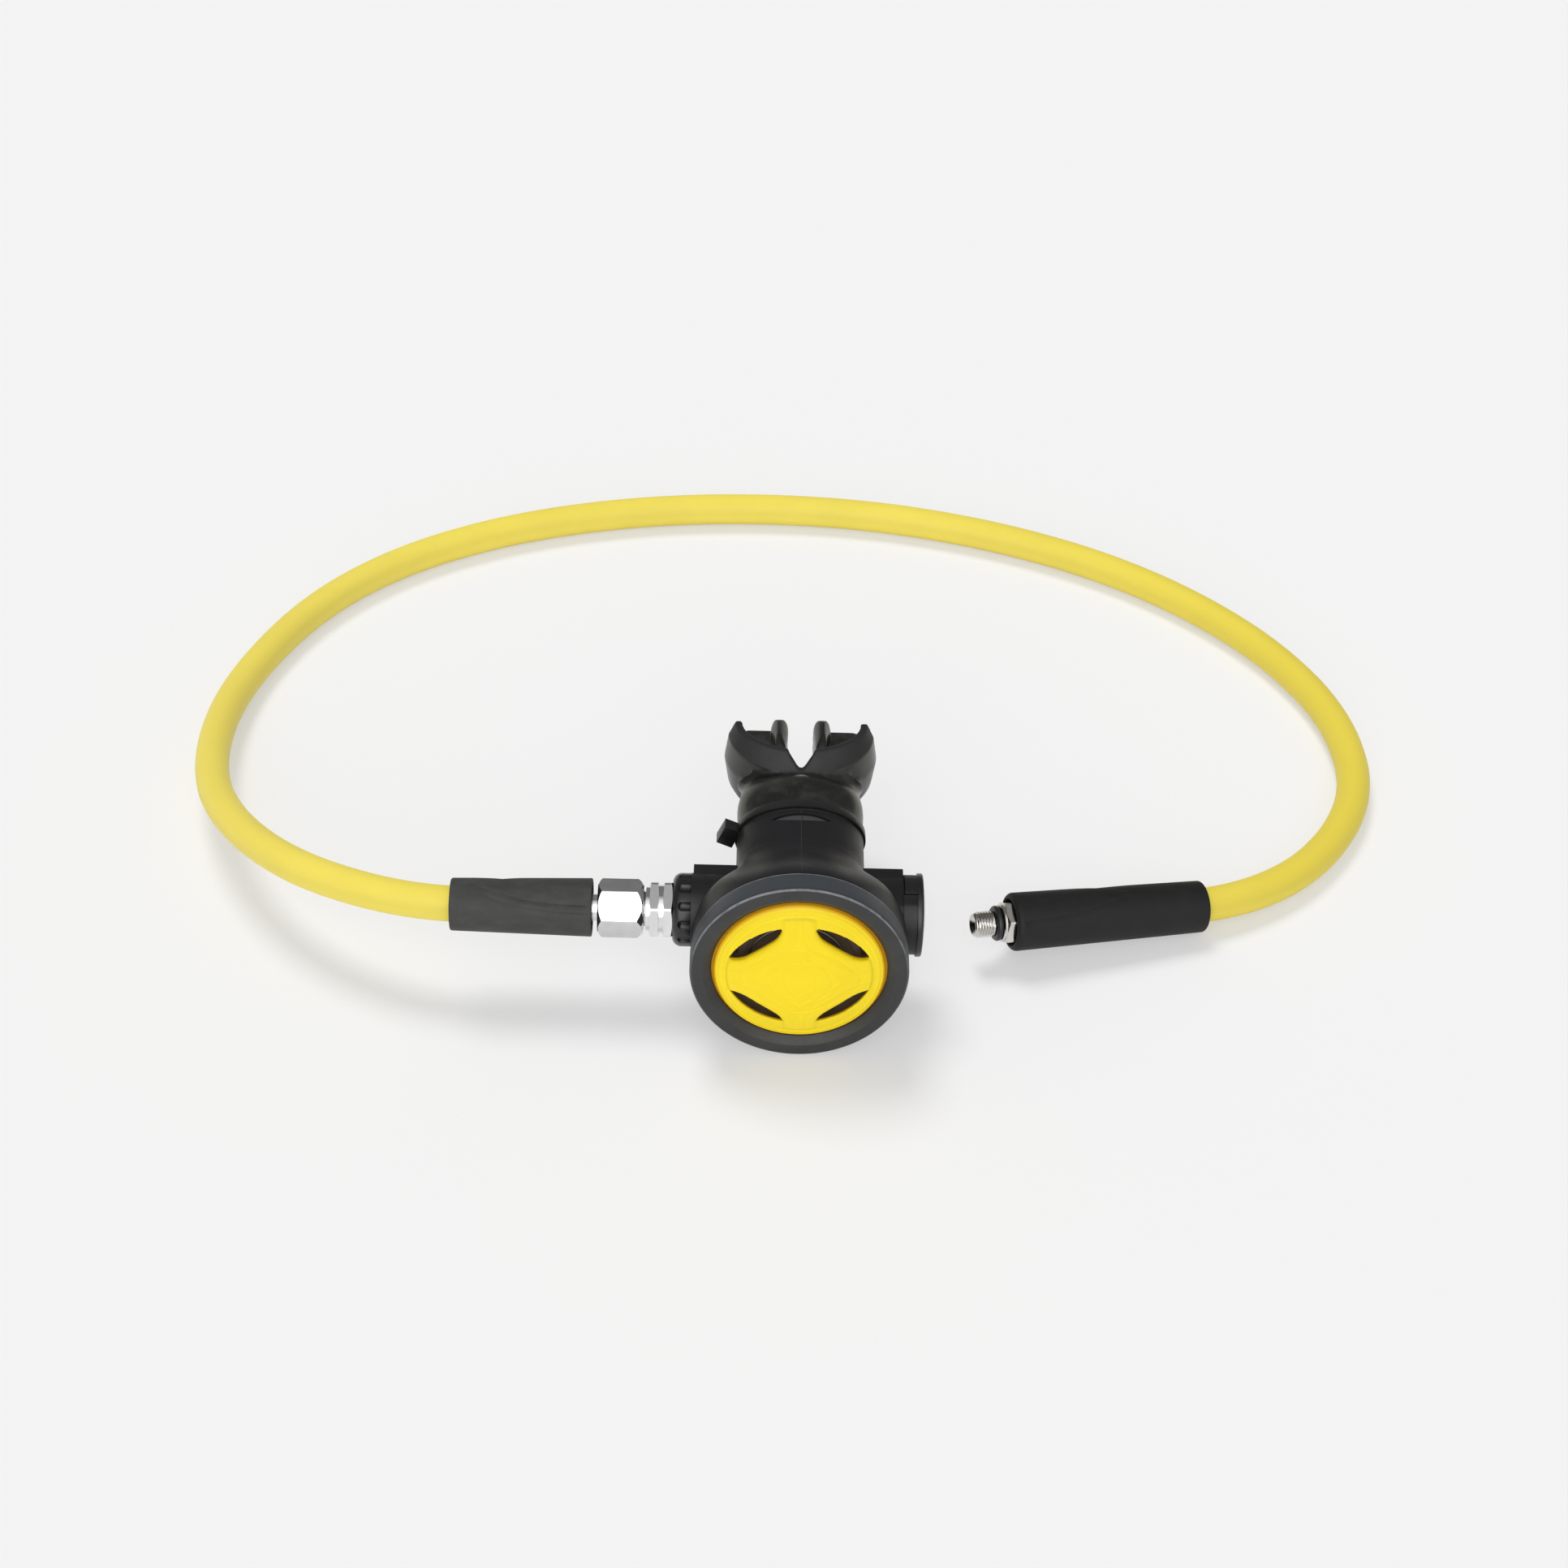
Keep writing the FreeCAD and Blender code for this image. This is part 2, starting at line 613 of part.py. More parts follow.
def diaphragm():
    """Silicone disc: a bead at the rim, one fold, and a flat middle."""
    outer = COLLAR_BORE - RUN_GAP
    bead = outer - LEDGE_WIDTH
    fold_outer = bead - 1.5
    fold_inner = fold_outer - 6.0
    fold_middle = (fold_outer + fold_inner) / 2
    back = SKIN_FRONT + DIAPHRAGM_SKIN
    return turned_y([
        (SKIN_FRONT, 0),
        (SKIN_FRONT, fold_inner),
        ((SKIN_FRONT + DIAPHRAGM_FOLD, fold_middle), (SKIN_FRONT, fold_outer)),
        (SKIN_FRONT, bead),
        (BEAD_FRONT, bead),
        (BEAD_FRONT, outer),
        (LEDGE_DEPTH, outer),
        (LEDGE_DEPTH, bead),
        (back, bead),
        (back, fold_outer + DIAPHRAGM_SKIN / 2),
        (
            (back + DIAPHRAGM_FOLD, fold_middle),
            (back, fold_inner - DIAPHRAGM_SKIN / 2),
        ),
        (back, 0),
    ])


def diaphragm_plate():
    return turned_y([
        (PLATE_FRONT, 0),
        (PLATE_FRONT, PLATE_RADIUS),
        (PLATE_FRONT + PLATE_THICKNESS, PLATE_RADIUS),
        (PLATE_FRONT + PLATE_THICKNESS, 0),
    ])


def case_shell():
    """Outer form of the case: drum, cross housing, back plate, mouthpiece tube and sump."""
    quarter = DRUM_ROUND * (1 - math.sqrt(0.5))
    drum = turned_y([
        (RING_LIP_DEPTH, 0),
        (RING_LIP_DEPTH, COLLAR_RADIUS),
        (RING_DEPTH, COLLAR_RADIUS),
        (RING_DEPTH, DRUM_RADIUS),
        (DRUM_REAR - DRUM_ROUND, DRUM_RADIUS),
        ((DRUM_REAR - quarter, DRUM_RADIUS - quarter), (DRUM_REAR, DRUM_RADIUS - DRUM_ROUND)),
        (DRUM_REAR, 0),
    ])
    housing = rod_x(HOUSING_LEFT, HOUSING_RIGHT, HOUSING_RADIUS)
    neck = rod_x(HOUSING_RIGHT, CAP_LEFT, CAP_NECK_RADIUS)
    plate = box(
        (BACK_PLATE_LEFT, BACK_PLATE_REAR - BACK_PLATE_THICKNESS, AXIS_HEIGHT - BACK_PLATE_HALF_HEIGHT),
        (HOUSING_RIGHT, BACK_PLATE_REAR, AXIS_HEIGHT + BACK_PLATE_HALF_HEIGHT))
    shoulder = oval_loft([
        (DRUM_REAR - 6, TUBE_HALF_WIDTH + 7.5, TUBE_HALF_HEIGHT + 10, AXIS_HEIGHT + 2),
        (DRUM_REAR + 1, TUBE_HALF_WIDTH + 2.2, TUBE_HALF_HEIGHT + 4.2, TUBE_AXIS_HEIGHT - 2.6),
        (DRUM_REAR + 7, TUBE_HALF_WIDTH + 0.6, TUBE_HALF_HEIGHT + 1.2, TUBE_AXIS_HEIGHT - 0.6),
        (DRUM_REAR + 14, TUBE_HALF_WIDTH, TUBE_HALF_HEIGHT, TUBE_AXIS_HEIGHT),
    ])
    tube = oval_tube(DRUM_REAR + 14, TUBE_END, TUBE_HALF_WIDTH, TUBE_HALF_HEIGHT, TUBE_AXIS_HEIGHT)
    spigot = oval_tube(
        TUBE_END, TUBE_END + SPIGOT_LENGTH,
        TUBE_HALF_WIDTH - SPIGOT_STEP, TUBE_HALF_HEIGHT - SPIGOT_STEP, TUBE_AXIS_HEIGHT)
    sump = turned_z([
        (SUMP_BOTTOM, 0),
        (SUMP_BOTTOM, SUMP_RADIUS),
        (AXIS_HEIGHT, SUMP_RADIUS),
        (AXIS_HEIGHT, 0),
    ], 0, SUMP_DEPTH)
    shell = drum
    for part in (housing, neck, plate, shoulder, tube, spigot, sump):
        shell = shell.fuse(part)
    return shell


def case_hollow():
    """Chamber behind the diaphragm, airway, valve bore and sump, all open to each other."""
    bore = DRUM_RADIUS - CASE_WALL
    inner_rear = DRUM_REAR - CASE_WALL
    inner_round = DRUM_ROUND - CASE_WALL
    quarter = inner_round * (1 - math.sqrt(0.5))
    ledge_bore = COLLAR_BORE - LEDGE_WIDTH
    chamber = turned_y([
        (RING_LIP_DEPTH - 1, 0),
        (RING_LIP_DEPTH - 1, COLLAR_BORE),
        (LEDGE_DEPTH, COLLAR_BORE),
        (LEDGE_DEPTH, ledge_bore),
        (LEDGE_DEPTH + 1.5, ledge_bore),
        (LEDGE_DEPTH + 1.5 + bore - ledge_bore, bore),
        (inner_rear - inner_round, bore),
        ((inner_rear - quarter, bore - quarter), (inner_rear, bore - inner_round)),
        (inner_rear, 0),
    ])
    airway = oval_tube(
        inner_rear - 2, TUBE_END + SPIGOT_LENGTH + 1,
        SPIGOT_BORE_HALF_WIDTH, SPIGOT_BORE_HALF_HEIGHT, TUBE_AXIS_HEIGHT)
    valve_bore = rod_x(HOUSING_LEFT - 1, CAP_LEFT + 1, BARREL_RADIUS + RUN_GAP)
    cavity = rod_x(CAVITY_LEFT, CAVITY_RIGHT, CAVITY_RADIUS)
    window = box(
        (CAVITY_LEFT, inner_rear - 2, AXIS_HEIGHT - CAVITY_RADIUS + 2),
        (CAVITY_RIGHT, VALVE_DEPTH, AXIS_HEIGHT + CAVITY_RADIUS))
    sump_bore = SUMP_RADIUS - CASE_WALL - 1.0
    well = turned_z([
        (SUMP_BOTTOM + SEAT_THICKNESS, 0),
        (SUMP_BOTTOM + SEAT_THICKNESS, sump_bore),
        (AXIS_HEIGHT - 2, sump_bore),
        (AXIS_HEIGHT - 2, 0),
    ], 0, SUMP_DEPTH)
    return [chamber, airway, valve_bore, cavity, window, well] + seat_windows(sump_bore)


def seat_windows(sump_bore):
    """Openings between the spokes of the exhaust valve's seat, and the hole for its stem."""
    low = SUMP_BOTTOM - 1
    high = SUMP_BOTTOM + SEAT_THICKNESS + 1
    half = SEAT_SPOKE_WIDTH / 2
    centre = Vector(0, SUMP_DEPTH, low)
    step = 360 / SEAT_SPOKES
    cutters = []
    for index in range(SEAT_SPOKES):
        wedge = Part.makeCylinder(sump_bore, high - low, centre, ALONG_Z, step)
        wedge = wedge.cut(Part.makeCylinder(SEAT_HUB_RADIUS, high - low, centre, ALONG_Z))
        wedge = wedge.cut(box((-half, SUMP_DEPTH - half, low), (sump_bore, SUMP_DEPTH + half, high)))
        wedge = wedge.cut(box((-half, SUMP_DEPTH - half, low), (half, SUMP_DEPTH + sump_bore, high)))
        wedge.rotate(centre, ALONG_Z, step * index)
        cutters.append(wedge)
    stem_hole = Part.makeCylinder(EXHAUST_STEM_RADIUS + RUN_GAP / 2, high - low, centre, ALONG_Z)
    return cutters + [stem_hole]


def key_sector(inner, outer, left, right, half_angle):
    """Sector round the valve axis, centred on top."""
    wire = outline(
        lambda x, r: VALVE_AXIS + Vector(x, 0, r),
        [(left, inner), (left, outer), (right, outer), (right, inner)])
    sector = Part.Face(wire).revolve(VALVE_AXIS, ALONG_X, 2 * half_angle)
    sector.rotate(VALVE_AXIS, ALONG_X, -half_angle)
    return sector


def thumb_groove():
    """Shallow lens-shaped groove across the top of the mouthpiece tube."""
    centre_y = TUBE_END - 4.2
    half = THUMB_GROOVE_WIDTH / 2
    top = TUBE_AXIS_HEIGHT + TUBE_HALF_HEIGHT
    wire = outline(lambda x, y: Vector(x, centre_y + y, top - 4), [
        (-THUMB_GROOVE_HALF_LENGTH, 0),
        ((0, half), (THUMB_GROOVE_HALF_LENGTH, 0)),
        ((0, -half), (-THUMB_GROOVE_HALF_LENGTH, 0)),
    ])
    prism = Part.Face(wire).extrude(Vector(0, 0, 8))
    floor = oval_tube(
        TUBE_END - 8, TUBE_END, TUBE_HALF_WIDTH - THUMB_GROOVE_DEPTH,
        TUBE_HALF_HEIGHT - THUMB_GROOVE_DEPTH, TUBE_AXIS_HEIGHT)
    return prism.cut(floor)


def moulded_case():
    """The case in one piece, before its mouthpiece tube is set apart."""
    body = case_shell()
    for cutter in case_hollow():
        body = body.cut(cutter)
    body = body.cut(thumb_groove())
    notch = key_sector(
        CAP_RADIUS - CAP_KEY_DEPTH - REST_GAP, CAP_RADIUS + 1, HOUSING_RIGHT, CAP_LEFT, CAP_KEY_ANGLE + 1)
    return body.cut(notch).removeSplitter()


def tube_space():
    """All that lies inside the outer face of the mouthpiece tube, behind the back plate."""
    return oval_tube(
        TUBE_FRONT, TUBE_END + SPIGOT_LENGTH + 1, TUBE_HALF_WIDTH, TUBE_HALF_HEIGHT, TUBE_AXIS_HEIGHT)


def case_body():
    return moulded_case().cut(tube_space())


def mouth_tube():
    return moulded_case().common(tube_space())


def end_cap():
    """Shallow domed disc with a plug behind it and a key on top, turned in one outline."""
    groove_left = CAP_LEFT - CAP_GROOVE_START
    groove_right = groove_left + CAP_GROOVE_WIDTH
    groove_radius = BARREL_RADIUS - O_RING_WIRE_RADIUS * O_RING_SQUEEZE
    shoulder = CAP_RIGHT - CAP_DOME
    body = turned_x([
        (CAP_LEFT - CAP_PLUG_LENGTH, 0),
        (CAP_LEFT - CAP_PLUG_LENGTH, BARREL_RADIUS - CAP_PLUG_CHAMFER),
        (CAP_LEFT - CAP_PLUG_LENGTH + CAP_PLUG_CHAMFER, BARREL_RADIUS),
        (groove_left, BARREL_RADIUS),
        (groove_left, groove_radius),
        (groove_right, groove_radius),
        (groove_right, BARREL_RADIUS),
        (CAP_LEFT, BARREL_RADIUS),
        (CAP_LEFT, CAP_RADIUS),
        (shoulder - CAP_EDGE_ROUND, CAP_RADIUS),
        ((shoulder - CAP_EDGE_ROUND / 3, CAP_RADIUS - CAP_EDGE_ROUND / 2),
         (shoulder, CAP_RADIUS - CAP_EDGE_ROUND * 1.5)),
        ((CAP_RIGHT - CAP_DOME / 4, CAP_RADIUS / 2), (CAP_RIGHT, CAP_CROWN_RADIUS)),
        (CAP_RIGHT, 0),
    ])
    key = key_sector(
        CAP_RADIUS - CAP_KEY_DEPTH, CAP_RADIUS - CAP_KEY_STEP,
        HOUSING_RIGHT + REST_GAP, CAP_LEFT + CAP_THICKNESS / 2, CAP_KEY_ANGLE)
    return body.fuse(key)


def end_cap_o_ring():
    wire = (RUN_GAP + O_RING_WIRE_RADIUS * O_RING_SQUEEZE) / 2
    middle = CAP_LEFT - CAP_GROOVE_START + CAP_GROOVE_WIDTH / 2
    return ring_seal(middle, BARREL_RADIUS + RUN_GAP - wire, wire)


def barrel_groove_places():
    return [HOUSING_LEFT + 6.0, CAVITY_RIGHT + 7.0]


def valve_tube():
    """Metal tube across the case, with a hexagon outside the lock ring and a web inside."""
    groove_radius = BARREL_RADIUS - 0.9
    steps = [(BARREL_HEX_LEFT, 0), (BARREL_HEX_LEFT, BARREL_RADIUS)]
    for x in barrel_groove_places():
        steps += [(x - 1, BARREL_RADIUS), (x - 1, groove_radius)]
        steps += [(x + 1, groove_radius), (x + 1, BARREL_RADIUS)]
    steps += [(BARREL_RIGHT, BARREL_RADIUS), (BARREL_RIGHT, 0)]
    tube = turned_x(steps).fuse(
        hexagon(HEX_FLANGE_FLATS, BARREL_HEX_LEFT, LOCK_RING_LEFT, CORNER_IN_FRONT, HEX_CHAMFER))
    tube = tube.cut(rod_x(BARREL_HEX_LEFT - 1, WEB_LEFT, BARREL_BORE))
    tube = tube.cut(rod_x(WEB_LEFT + WEB_THICKNESS, BARREL_RIGHT + 1, BARREL_BORE))
    tube = tube.cut(rod_x(WEB_LEFT - 1, WEB_LEFT + WEB_THICKNESS + 1, POPPET_STEM_RADIUS + RUN_GAP))
    lever_slot = box(
        (WEB_LEFT + WEB_THICKNESS, VALVE_DEPTH - BARREL_RADIUS - 1, AXIS_HEIGHT - SLOT_HALF_HEIGHT),
        (SLOT_RIGHT, VALVE_DEPTH, AXIS_HEIGHT + SLOT_HALF_HEIGHT))
    outlet = box(
        (CAVITY_LEFT + 6, VALVE_DEPTH, AXIS_HEIGHT - 3.0),
        (WEB_LEFT - 6, VALVE_DEPTH + BARREL_RADIUS + 1, AXIS_HEIGHT + 3.0))
    tube = tube.cut(lever_slot).cut(outlet)
    pin_hole = Part.makeCylinder(
        PIVOT_PIN_RADIUS, 2 * BARREL_RADIUS,
        Vector(LEVER_PIVOT_X, LEVER_PIVOT_Y, AXIS_HEIGHT - BARREL_RADIUS), ALONG_Z)
    return tube.cut(pin_hole).removeSplitter()


def valve_o_rings():
    outer = BARREL_RADIUS + RUN_GAP
    inner = BARREL_RADIUS - 0.9
    rings = [ring_seal(x, (outer + inner) / 2, (outer - inner) / 2) for x in barrel_groove_places()]
    return Part.makeCompound(rings)


def inlet_fitting():
    """Hexagon, 9/16 inch thread to the left of it and the tube that holds the orifice."""
    root = INLET_THREAD_RADIUS - THREAD_DEPTH_SHARE * INLET_THREAD_PITCH
    steps = [(INLET_THREAD_LEFT, 0), (INLET_THREAD_LEFT, root)]
    steps += thread_steps(
        INLET_THREAD_LEFT + 0.4, INLET_THREAD_TURNS, INLET_THREAD_PITCH, INLET_THREAD_RADIUS, root)
    steps += [
        (INLET_HEX_LEFT - INLET_SHOULDER_LENGTH, root),
        (INLET_HEX_LEFT - INLET_SHOULDER_LENGTH, INLET_SHOULDER_RADIUS),
        (INLET_HEX_LEFT, INLET_SHOULDER_RADIUS),
        (INLET_HEX_LEFT, HEX_NECK_RADIUS),
        (BARREL_HEX_LEFT, HEX_NECK_RADIUS),
        (BARREL_HEX_LEFT, BARREL_BORE - RUN_GAP),
        (INLET_TUBE_RIGHT, BARREL_BORE - RUN_GAP),
        (INLET_TUBE_RIGHT, 0),
    ]
    body = turned_x(steps).fuse(
        hexagon(HEX_FLANGE_FLATS, INLET_HEX_LEFT, INLET_HEX_RIGHT, CORNER_IN_FRONT, HEX_CHAMFER))
    body = body.cut(rod_x(INLET_THREAD_LEFT - 1, INLET_TUBE_RIGHT + 1, INLET_BORE))
    socket_end = INLET_THREAD_LEFT + 8.6
    body = body.cut(rod_x(INLET_THREAD_LEFT - 1, socket_end, STEM_NOSE_RADIUS + RUN_GAP))
    return body.removeSplitter()


def orifice():
    """Seat with a raised round edge, pressed into the fitting's tube and sealed by a ring."""
    left = ORIFICE_EDGE - ORIFICE_LENGTH
    groove = left + 4.0
    return turned_x([
        (left, ORIFICE_BORE),
        (left, INLET_BORE),
        (groove - 0.6, INLET_BORE),
        (groove - 0.6, INLET_BORE - 0.7),
        (groove + 0.6, INLET_BORE - 0.7),
        (groove + 0.6, INLET_BORE),
        (INLET_TUBE_RIGHT + 1.0, INLET_BORE),
        (ORIFICE_EDGE - 0.8, ORIFICE_BORE + 1.0),
        (ORIFICE_EDGE, ORIFICE_BORE + 0.4),
        (ORIFICE_EDGE, ORIFICE_BORE),
    ])


def orifice_o_ring():
    groove = ORIFICE_EDGE - ORIFICE_LENGTH + 4.0
    return ring_seal(groove, INLET_BORE - 0.35, 0.35)


def poppet():
    """Head with a pocket for the seat, and a stem that runs through the web to the lever."""
    left = ORIFICE_EDGE + REST_GAP
    right = left + POPPET_HEAD_LENGTH
    pocket = left + POPPET_SEAT_THICKNESS
    return turned_x([
        (pocket, 0),
        (pocket, POPPET_SEAT_RADIUS),
        (left + 0.2, POPPET_SEAT_RADIUS),
        (left + 0.2, POPPET_HEAD_RADIUS),
        (right, POPPET_HEAD_RADIUS),
        (right, POPPET_STEM_RADIUS),
        (lock_nut_left() + LOCK_NUT_LENGTH + 1.2, POPPET_STEM_RADIUS),
        (lock_nut_left() + LOCK_NUT_LENGTH + 1.2, 0),
    ])


def poppet_seat():
    left = ORIFICE_EDGE + REST_GAP
    return rod_x(left, left + POPPET_SEAT_THICKNESS, POPPET_SEAT_RADIUS)


def poppet_spring():
    start = ORIFICE_EDGE + REST_GAP + POPPET_HEAD_LENGTH + POPPET_WIRE / 2
    end = WEB_LEFT - POPPET_WIRE / 2
    return coil(
        lambda share: Vector(start + (end - start) * share, VALVE_AXIS.y, VALVE_AXIS.z),
        lambda share: POPPET_SPRING_RADIUS,
        ALONG_Y, ALONG_Z, POPPET_SPRING_TURNS, POPPET_WIRE / 2)


def lock_nut_left():
    return LEVER_PIVOT_X + LEVER_SHEET / 2 + REST_GAP


def poppet_lock_nut():
    left = lock_nut_left()
    nut = hexagon(LOCK_NUT_FLATS, left, left + LOCK_NUT_LENGTH, 0, 0)
    return nut.cut(rod_x(left - 1, left + LOCK_NUT_LENGTH + 1, POPPET_STEM_RADIUS))


def demand_lever():
    """Bent sheet lever: a curled foot on the diaphragm's plate, an arm, and a fork in the tube."""
    pivot = Vector(LEVER_PIVOT_X, LEVER_PIVOT_Y, AXIS_HEIGHT)
    foot = Vector(LEVER_FOOT_X, LEVER_FOOT_Y, AXIS_HEIGHT)
    arm = pivot - foot
    along = Vector(arm)
    along.normalize()
    side = Vector(-along.y, along.x, 0)
    half = LEVER_SHEET / 2
    arm_end = pivot - along * 5.6
    corners = [foot - side * half, arm_end - side * half, arm_end + side * half, foot + side * half]
    low = Vector(0, 0, -LEVER_WIDTH / 2)
    face = Part.Face(Part.makePolygon([corner + low for corner in corners + corners[:1]]))
    lever = face.extrude(Vector(0, 0, LEVER_WIDTH))
    curl = Part.makeCylinder(LEVER_SHEET, LEVER_WIDTH, foot + low, ALONG_Z)
    lever = lever.fuse(curl)
    for side_z in (-1, 1):
        inner = LEVER_LEG_INSIDE
        leg_low = AXIS_HEIGHT + (inner if side_z > 0 else -inner - LEVER_LEG_THICKNESS)
        start = arm_end - along * 1.0
        points = [
            start - side * half,
            pivot - side * 1.6,
            Vector(LEVER_PIVOT_X + half, LEVER_PIVOT_Y + 1.0, 0),
            Vector(LEVER_PIVOT_X + half, LEVER_PIVOT_Y + LEVER_FORK_REACH, 0),
            Vector(LEVER_PIVOT_X - half, LEVER_PIVOT_Y + LEVER_FORK_REACH, 0),
            Vector(LEVER_PIVOT_X - half - 0.9, LEVER_PIVOT_Y, 0),
            start + side * half,
        ]
        flat = [Vector(point.x, point.y, leg_low) for point in points]
        leg = Part.Face(Part.makePolygon(flat + flat[:1])).extrude(Vector(0, 0, LEVER_LEG_THICKNESS))
        lever = lever.fuse(leg)
    eye = Part.makeCylinder(
        PIVOT_PIN_RADIUS + RUN_GAP / 2, 2 * BARREL_RADIUS,
        Vector(LEVER_PIVOT_X, LEVER_PIVOT_Y, AXIS_HEIGHT - BARREL_RADIUS), ALONG_Z)
    return lever.cut(eye).removeSplitter()


def lever_pivot_pin():
    reach = math.sqrt(BARREL_RADIUS ** 2 - (VALVE_DEPTH - LEVER_PIVOT_Y) ** 2)
    return Part.makeCylinder(
        PIVOT_PIN_RADIUS, 2 * reach, Vector(LEVER_PIVOT_X, LEVER_PIVOT_Y, AXIS_HEIGHT - reach), ALONG_Z)


def lock_ring():
    left = LOCK_RING_LEFT
    right = HOUSING_LEFT
    ring = turned_x([
        (left, BARREL_RADIUS),
        (left, LOCK_RING_RADIUS - 2.6),
        ((left + 0.9, LOCK_RING_RADIUS - 0.9), (left + 3.0, LOCK_RING_RADIUS)),
        (right, LOCK_RING_RADIUS),
        (right, BARREL_RADIUS),
    ])
    for index in range(LOCK_RING_SCALLOPS):
        angle = 2 * math.pi * (index + 0.5) / LOCK_RING_SCALLOPS
        reach = LOCK_RING_RADIUS + LOCK_RING_SCALLOP_RADIUS - 0.9
        centre = VALVE_AXIS + Vector(0, -reach * math.cos(angle), reach * math.sin(angle))
        start = Vector(left + 3.4, centre.y, centre.z)
        scallop = Part.makeCylinder(LOCK_RING_SCALLOP_RADIUS, right - left, start, ALONG_X)
        ring = ring.cut(scallop).cut(Part.makeSphere(LOCK_RING_SCALLOP_RADIUS, start))
    return ring


def air_deflector():
    """Thin vane round the back of the valve tube, which turns the air into the airway."""
    inner = BARREL_RADIUS
    outer = BARREL_RADIUS + 1.0
    vane = turned_x([
        (CAVITY_LEFT + 3, inner),
        (CAVITY_LEFT + 3, outer),
        (WEB_LEFT - 3, outer),
        (WEB_LEFT - 3, inner),
    ])
    keep = box(
        (CAVITY_LEFT, VALVE_DEPTH - outer, AXIS_HEIGHT - outer - 1),
        (WEB_LEFT, VALVE_DEPTH + outer + 1, AXIS_HEIGHT - 3.0))
    return vane.common(keep)


def neck_sections():
    """Ovals of the mouthpiece's neck: (y, half width, half height, height of the centre)."""
    low = TUBE_AXIS_HEIGHT
    return [
        (TUBE_END + TIE_SEAT, NECK_HALF_WIDTH, NECK_HALF_HEIGHT, low),
        (
            TUBE_END + NECK_BULGE_LENGTH,
            NECK_HALF_WIDTH + NECK_BULGE,
            NECK_HALF_HEIGHT + NECK_BULGE,
            low + 0.3,
        ),
        (TUBE_END + NECK_STRAIGHT_LENGTH, NECK_HALF_WIDTH, NECK_HALF_HEIGHT - 0.6, low + 1.0),
        (SHIELD_FRONT - 1, NECK_HALF_WIDTH - 0.8, SHIELD_CREASE + 1.0, low + SHIELD_RISE),
        (SHIELD_FRONT + 5, NECK_HALF_WIDTH + 1.0, SHIELD_CREASE, low + SHIELD_RISE),
    ]


def arch(height, half_width, front, end, thickness):
    """Closed band, shaped as half an oval in plan, open towards the mouth."""
    reach = end - front
    centre = Vector(0, end, height)

    def half_oval(shrink):
        curve = Part.Ellipse(centre, half_width - shrink, reach - shrink)
        return Part.ArcOfEllipse(curve, math.pi, 2 * math.pi).toShape()

    outer = half_oval(0)
    inner = half_oval(thickness)
    right = Part.LineSegment(Vector(half_width, end, height), Vector(half_width - thickness, end, height))
    left = Part.LineSegment(Vector(thickness - half_width, end, height), Vector(-half_width, end, height))
    return Part.Wire(Part.__sortEdges__([outer, right.toShape(), inner, left.toShape()]))


def lip_shield():
    """Curved shield behind the lips, whose upper and lower bands lean back."""
    middle = SHIELD_AXIS_HEIGHT
    levels = [
        (-SHIELD_HALF_HEIGHT, SHIELD_HALF_WIDTH - 4.0, SHIELD_LEAN),
        (-SHIELD_CREASE, SHIELD_HALF_WIDTH - 1.4, 0),
        (0, SHIELD_HALF_WIDTH, 0),
        (SHIELD_CREASE, SHIELD_HALF_WIDTH - 1.4, 0),
        (SHIELD_HALF_HEIGHT, SHIELD_HALF_WIDTH - 4.0, SHIELD_LEAN),
    ]
    wires = [
        arch(middle + rise, half_width, SHIELD_FRONT + lean, SHIELD_END, SHIELD_THICKNESS)
        for rise, half_width, lean in levels
    ]
    return Part.makeLoft(wires, True, True)


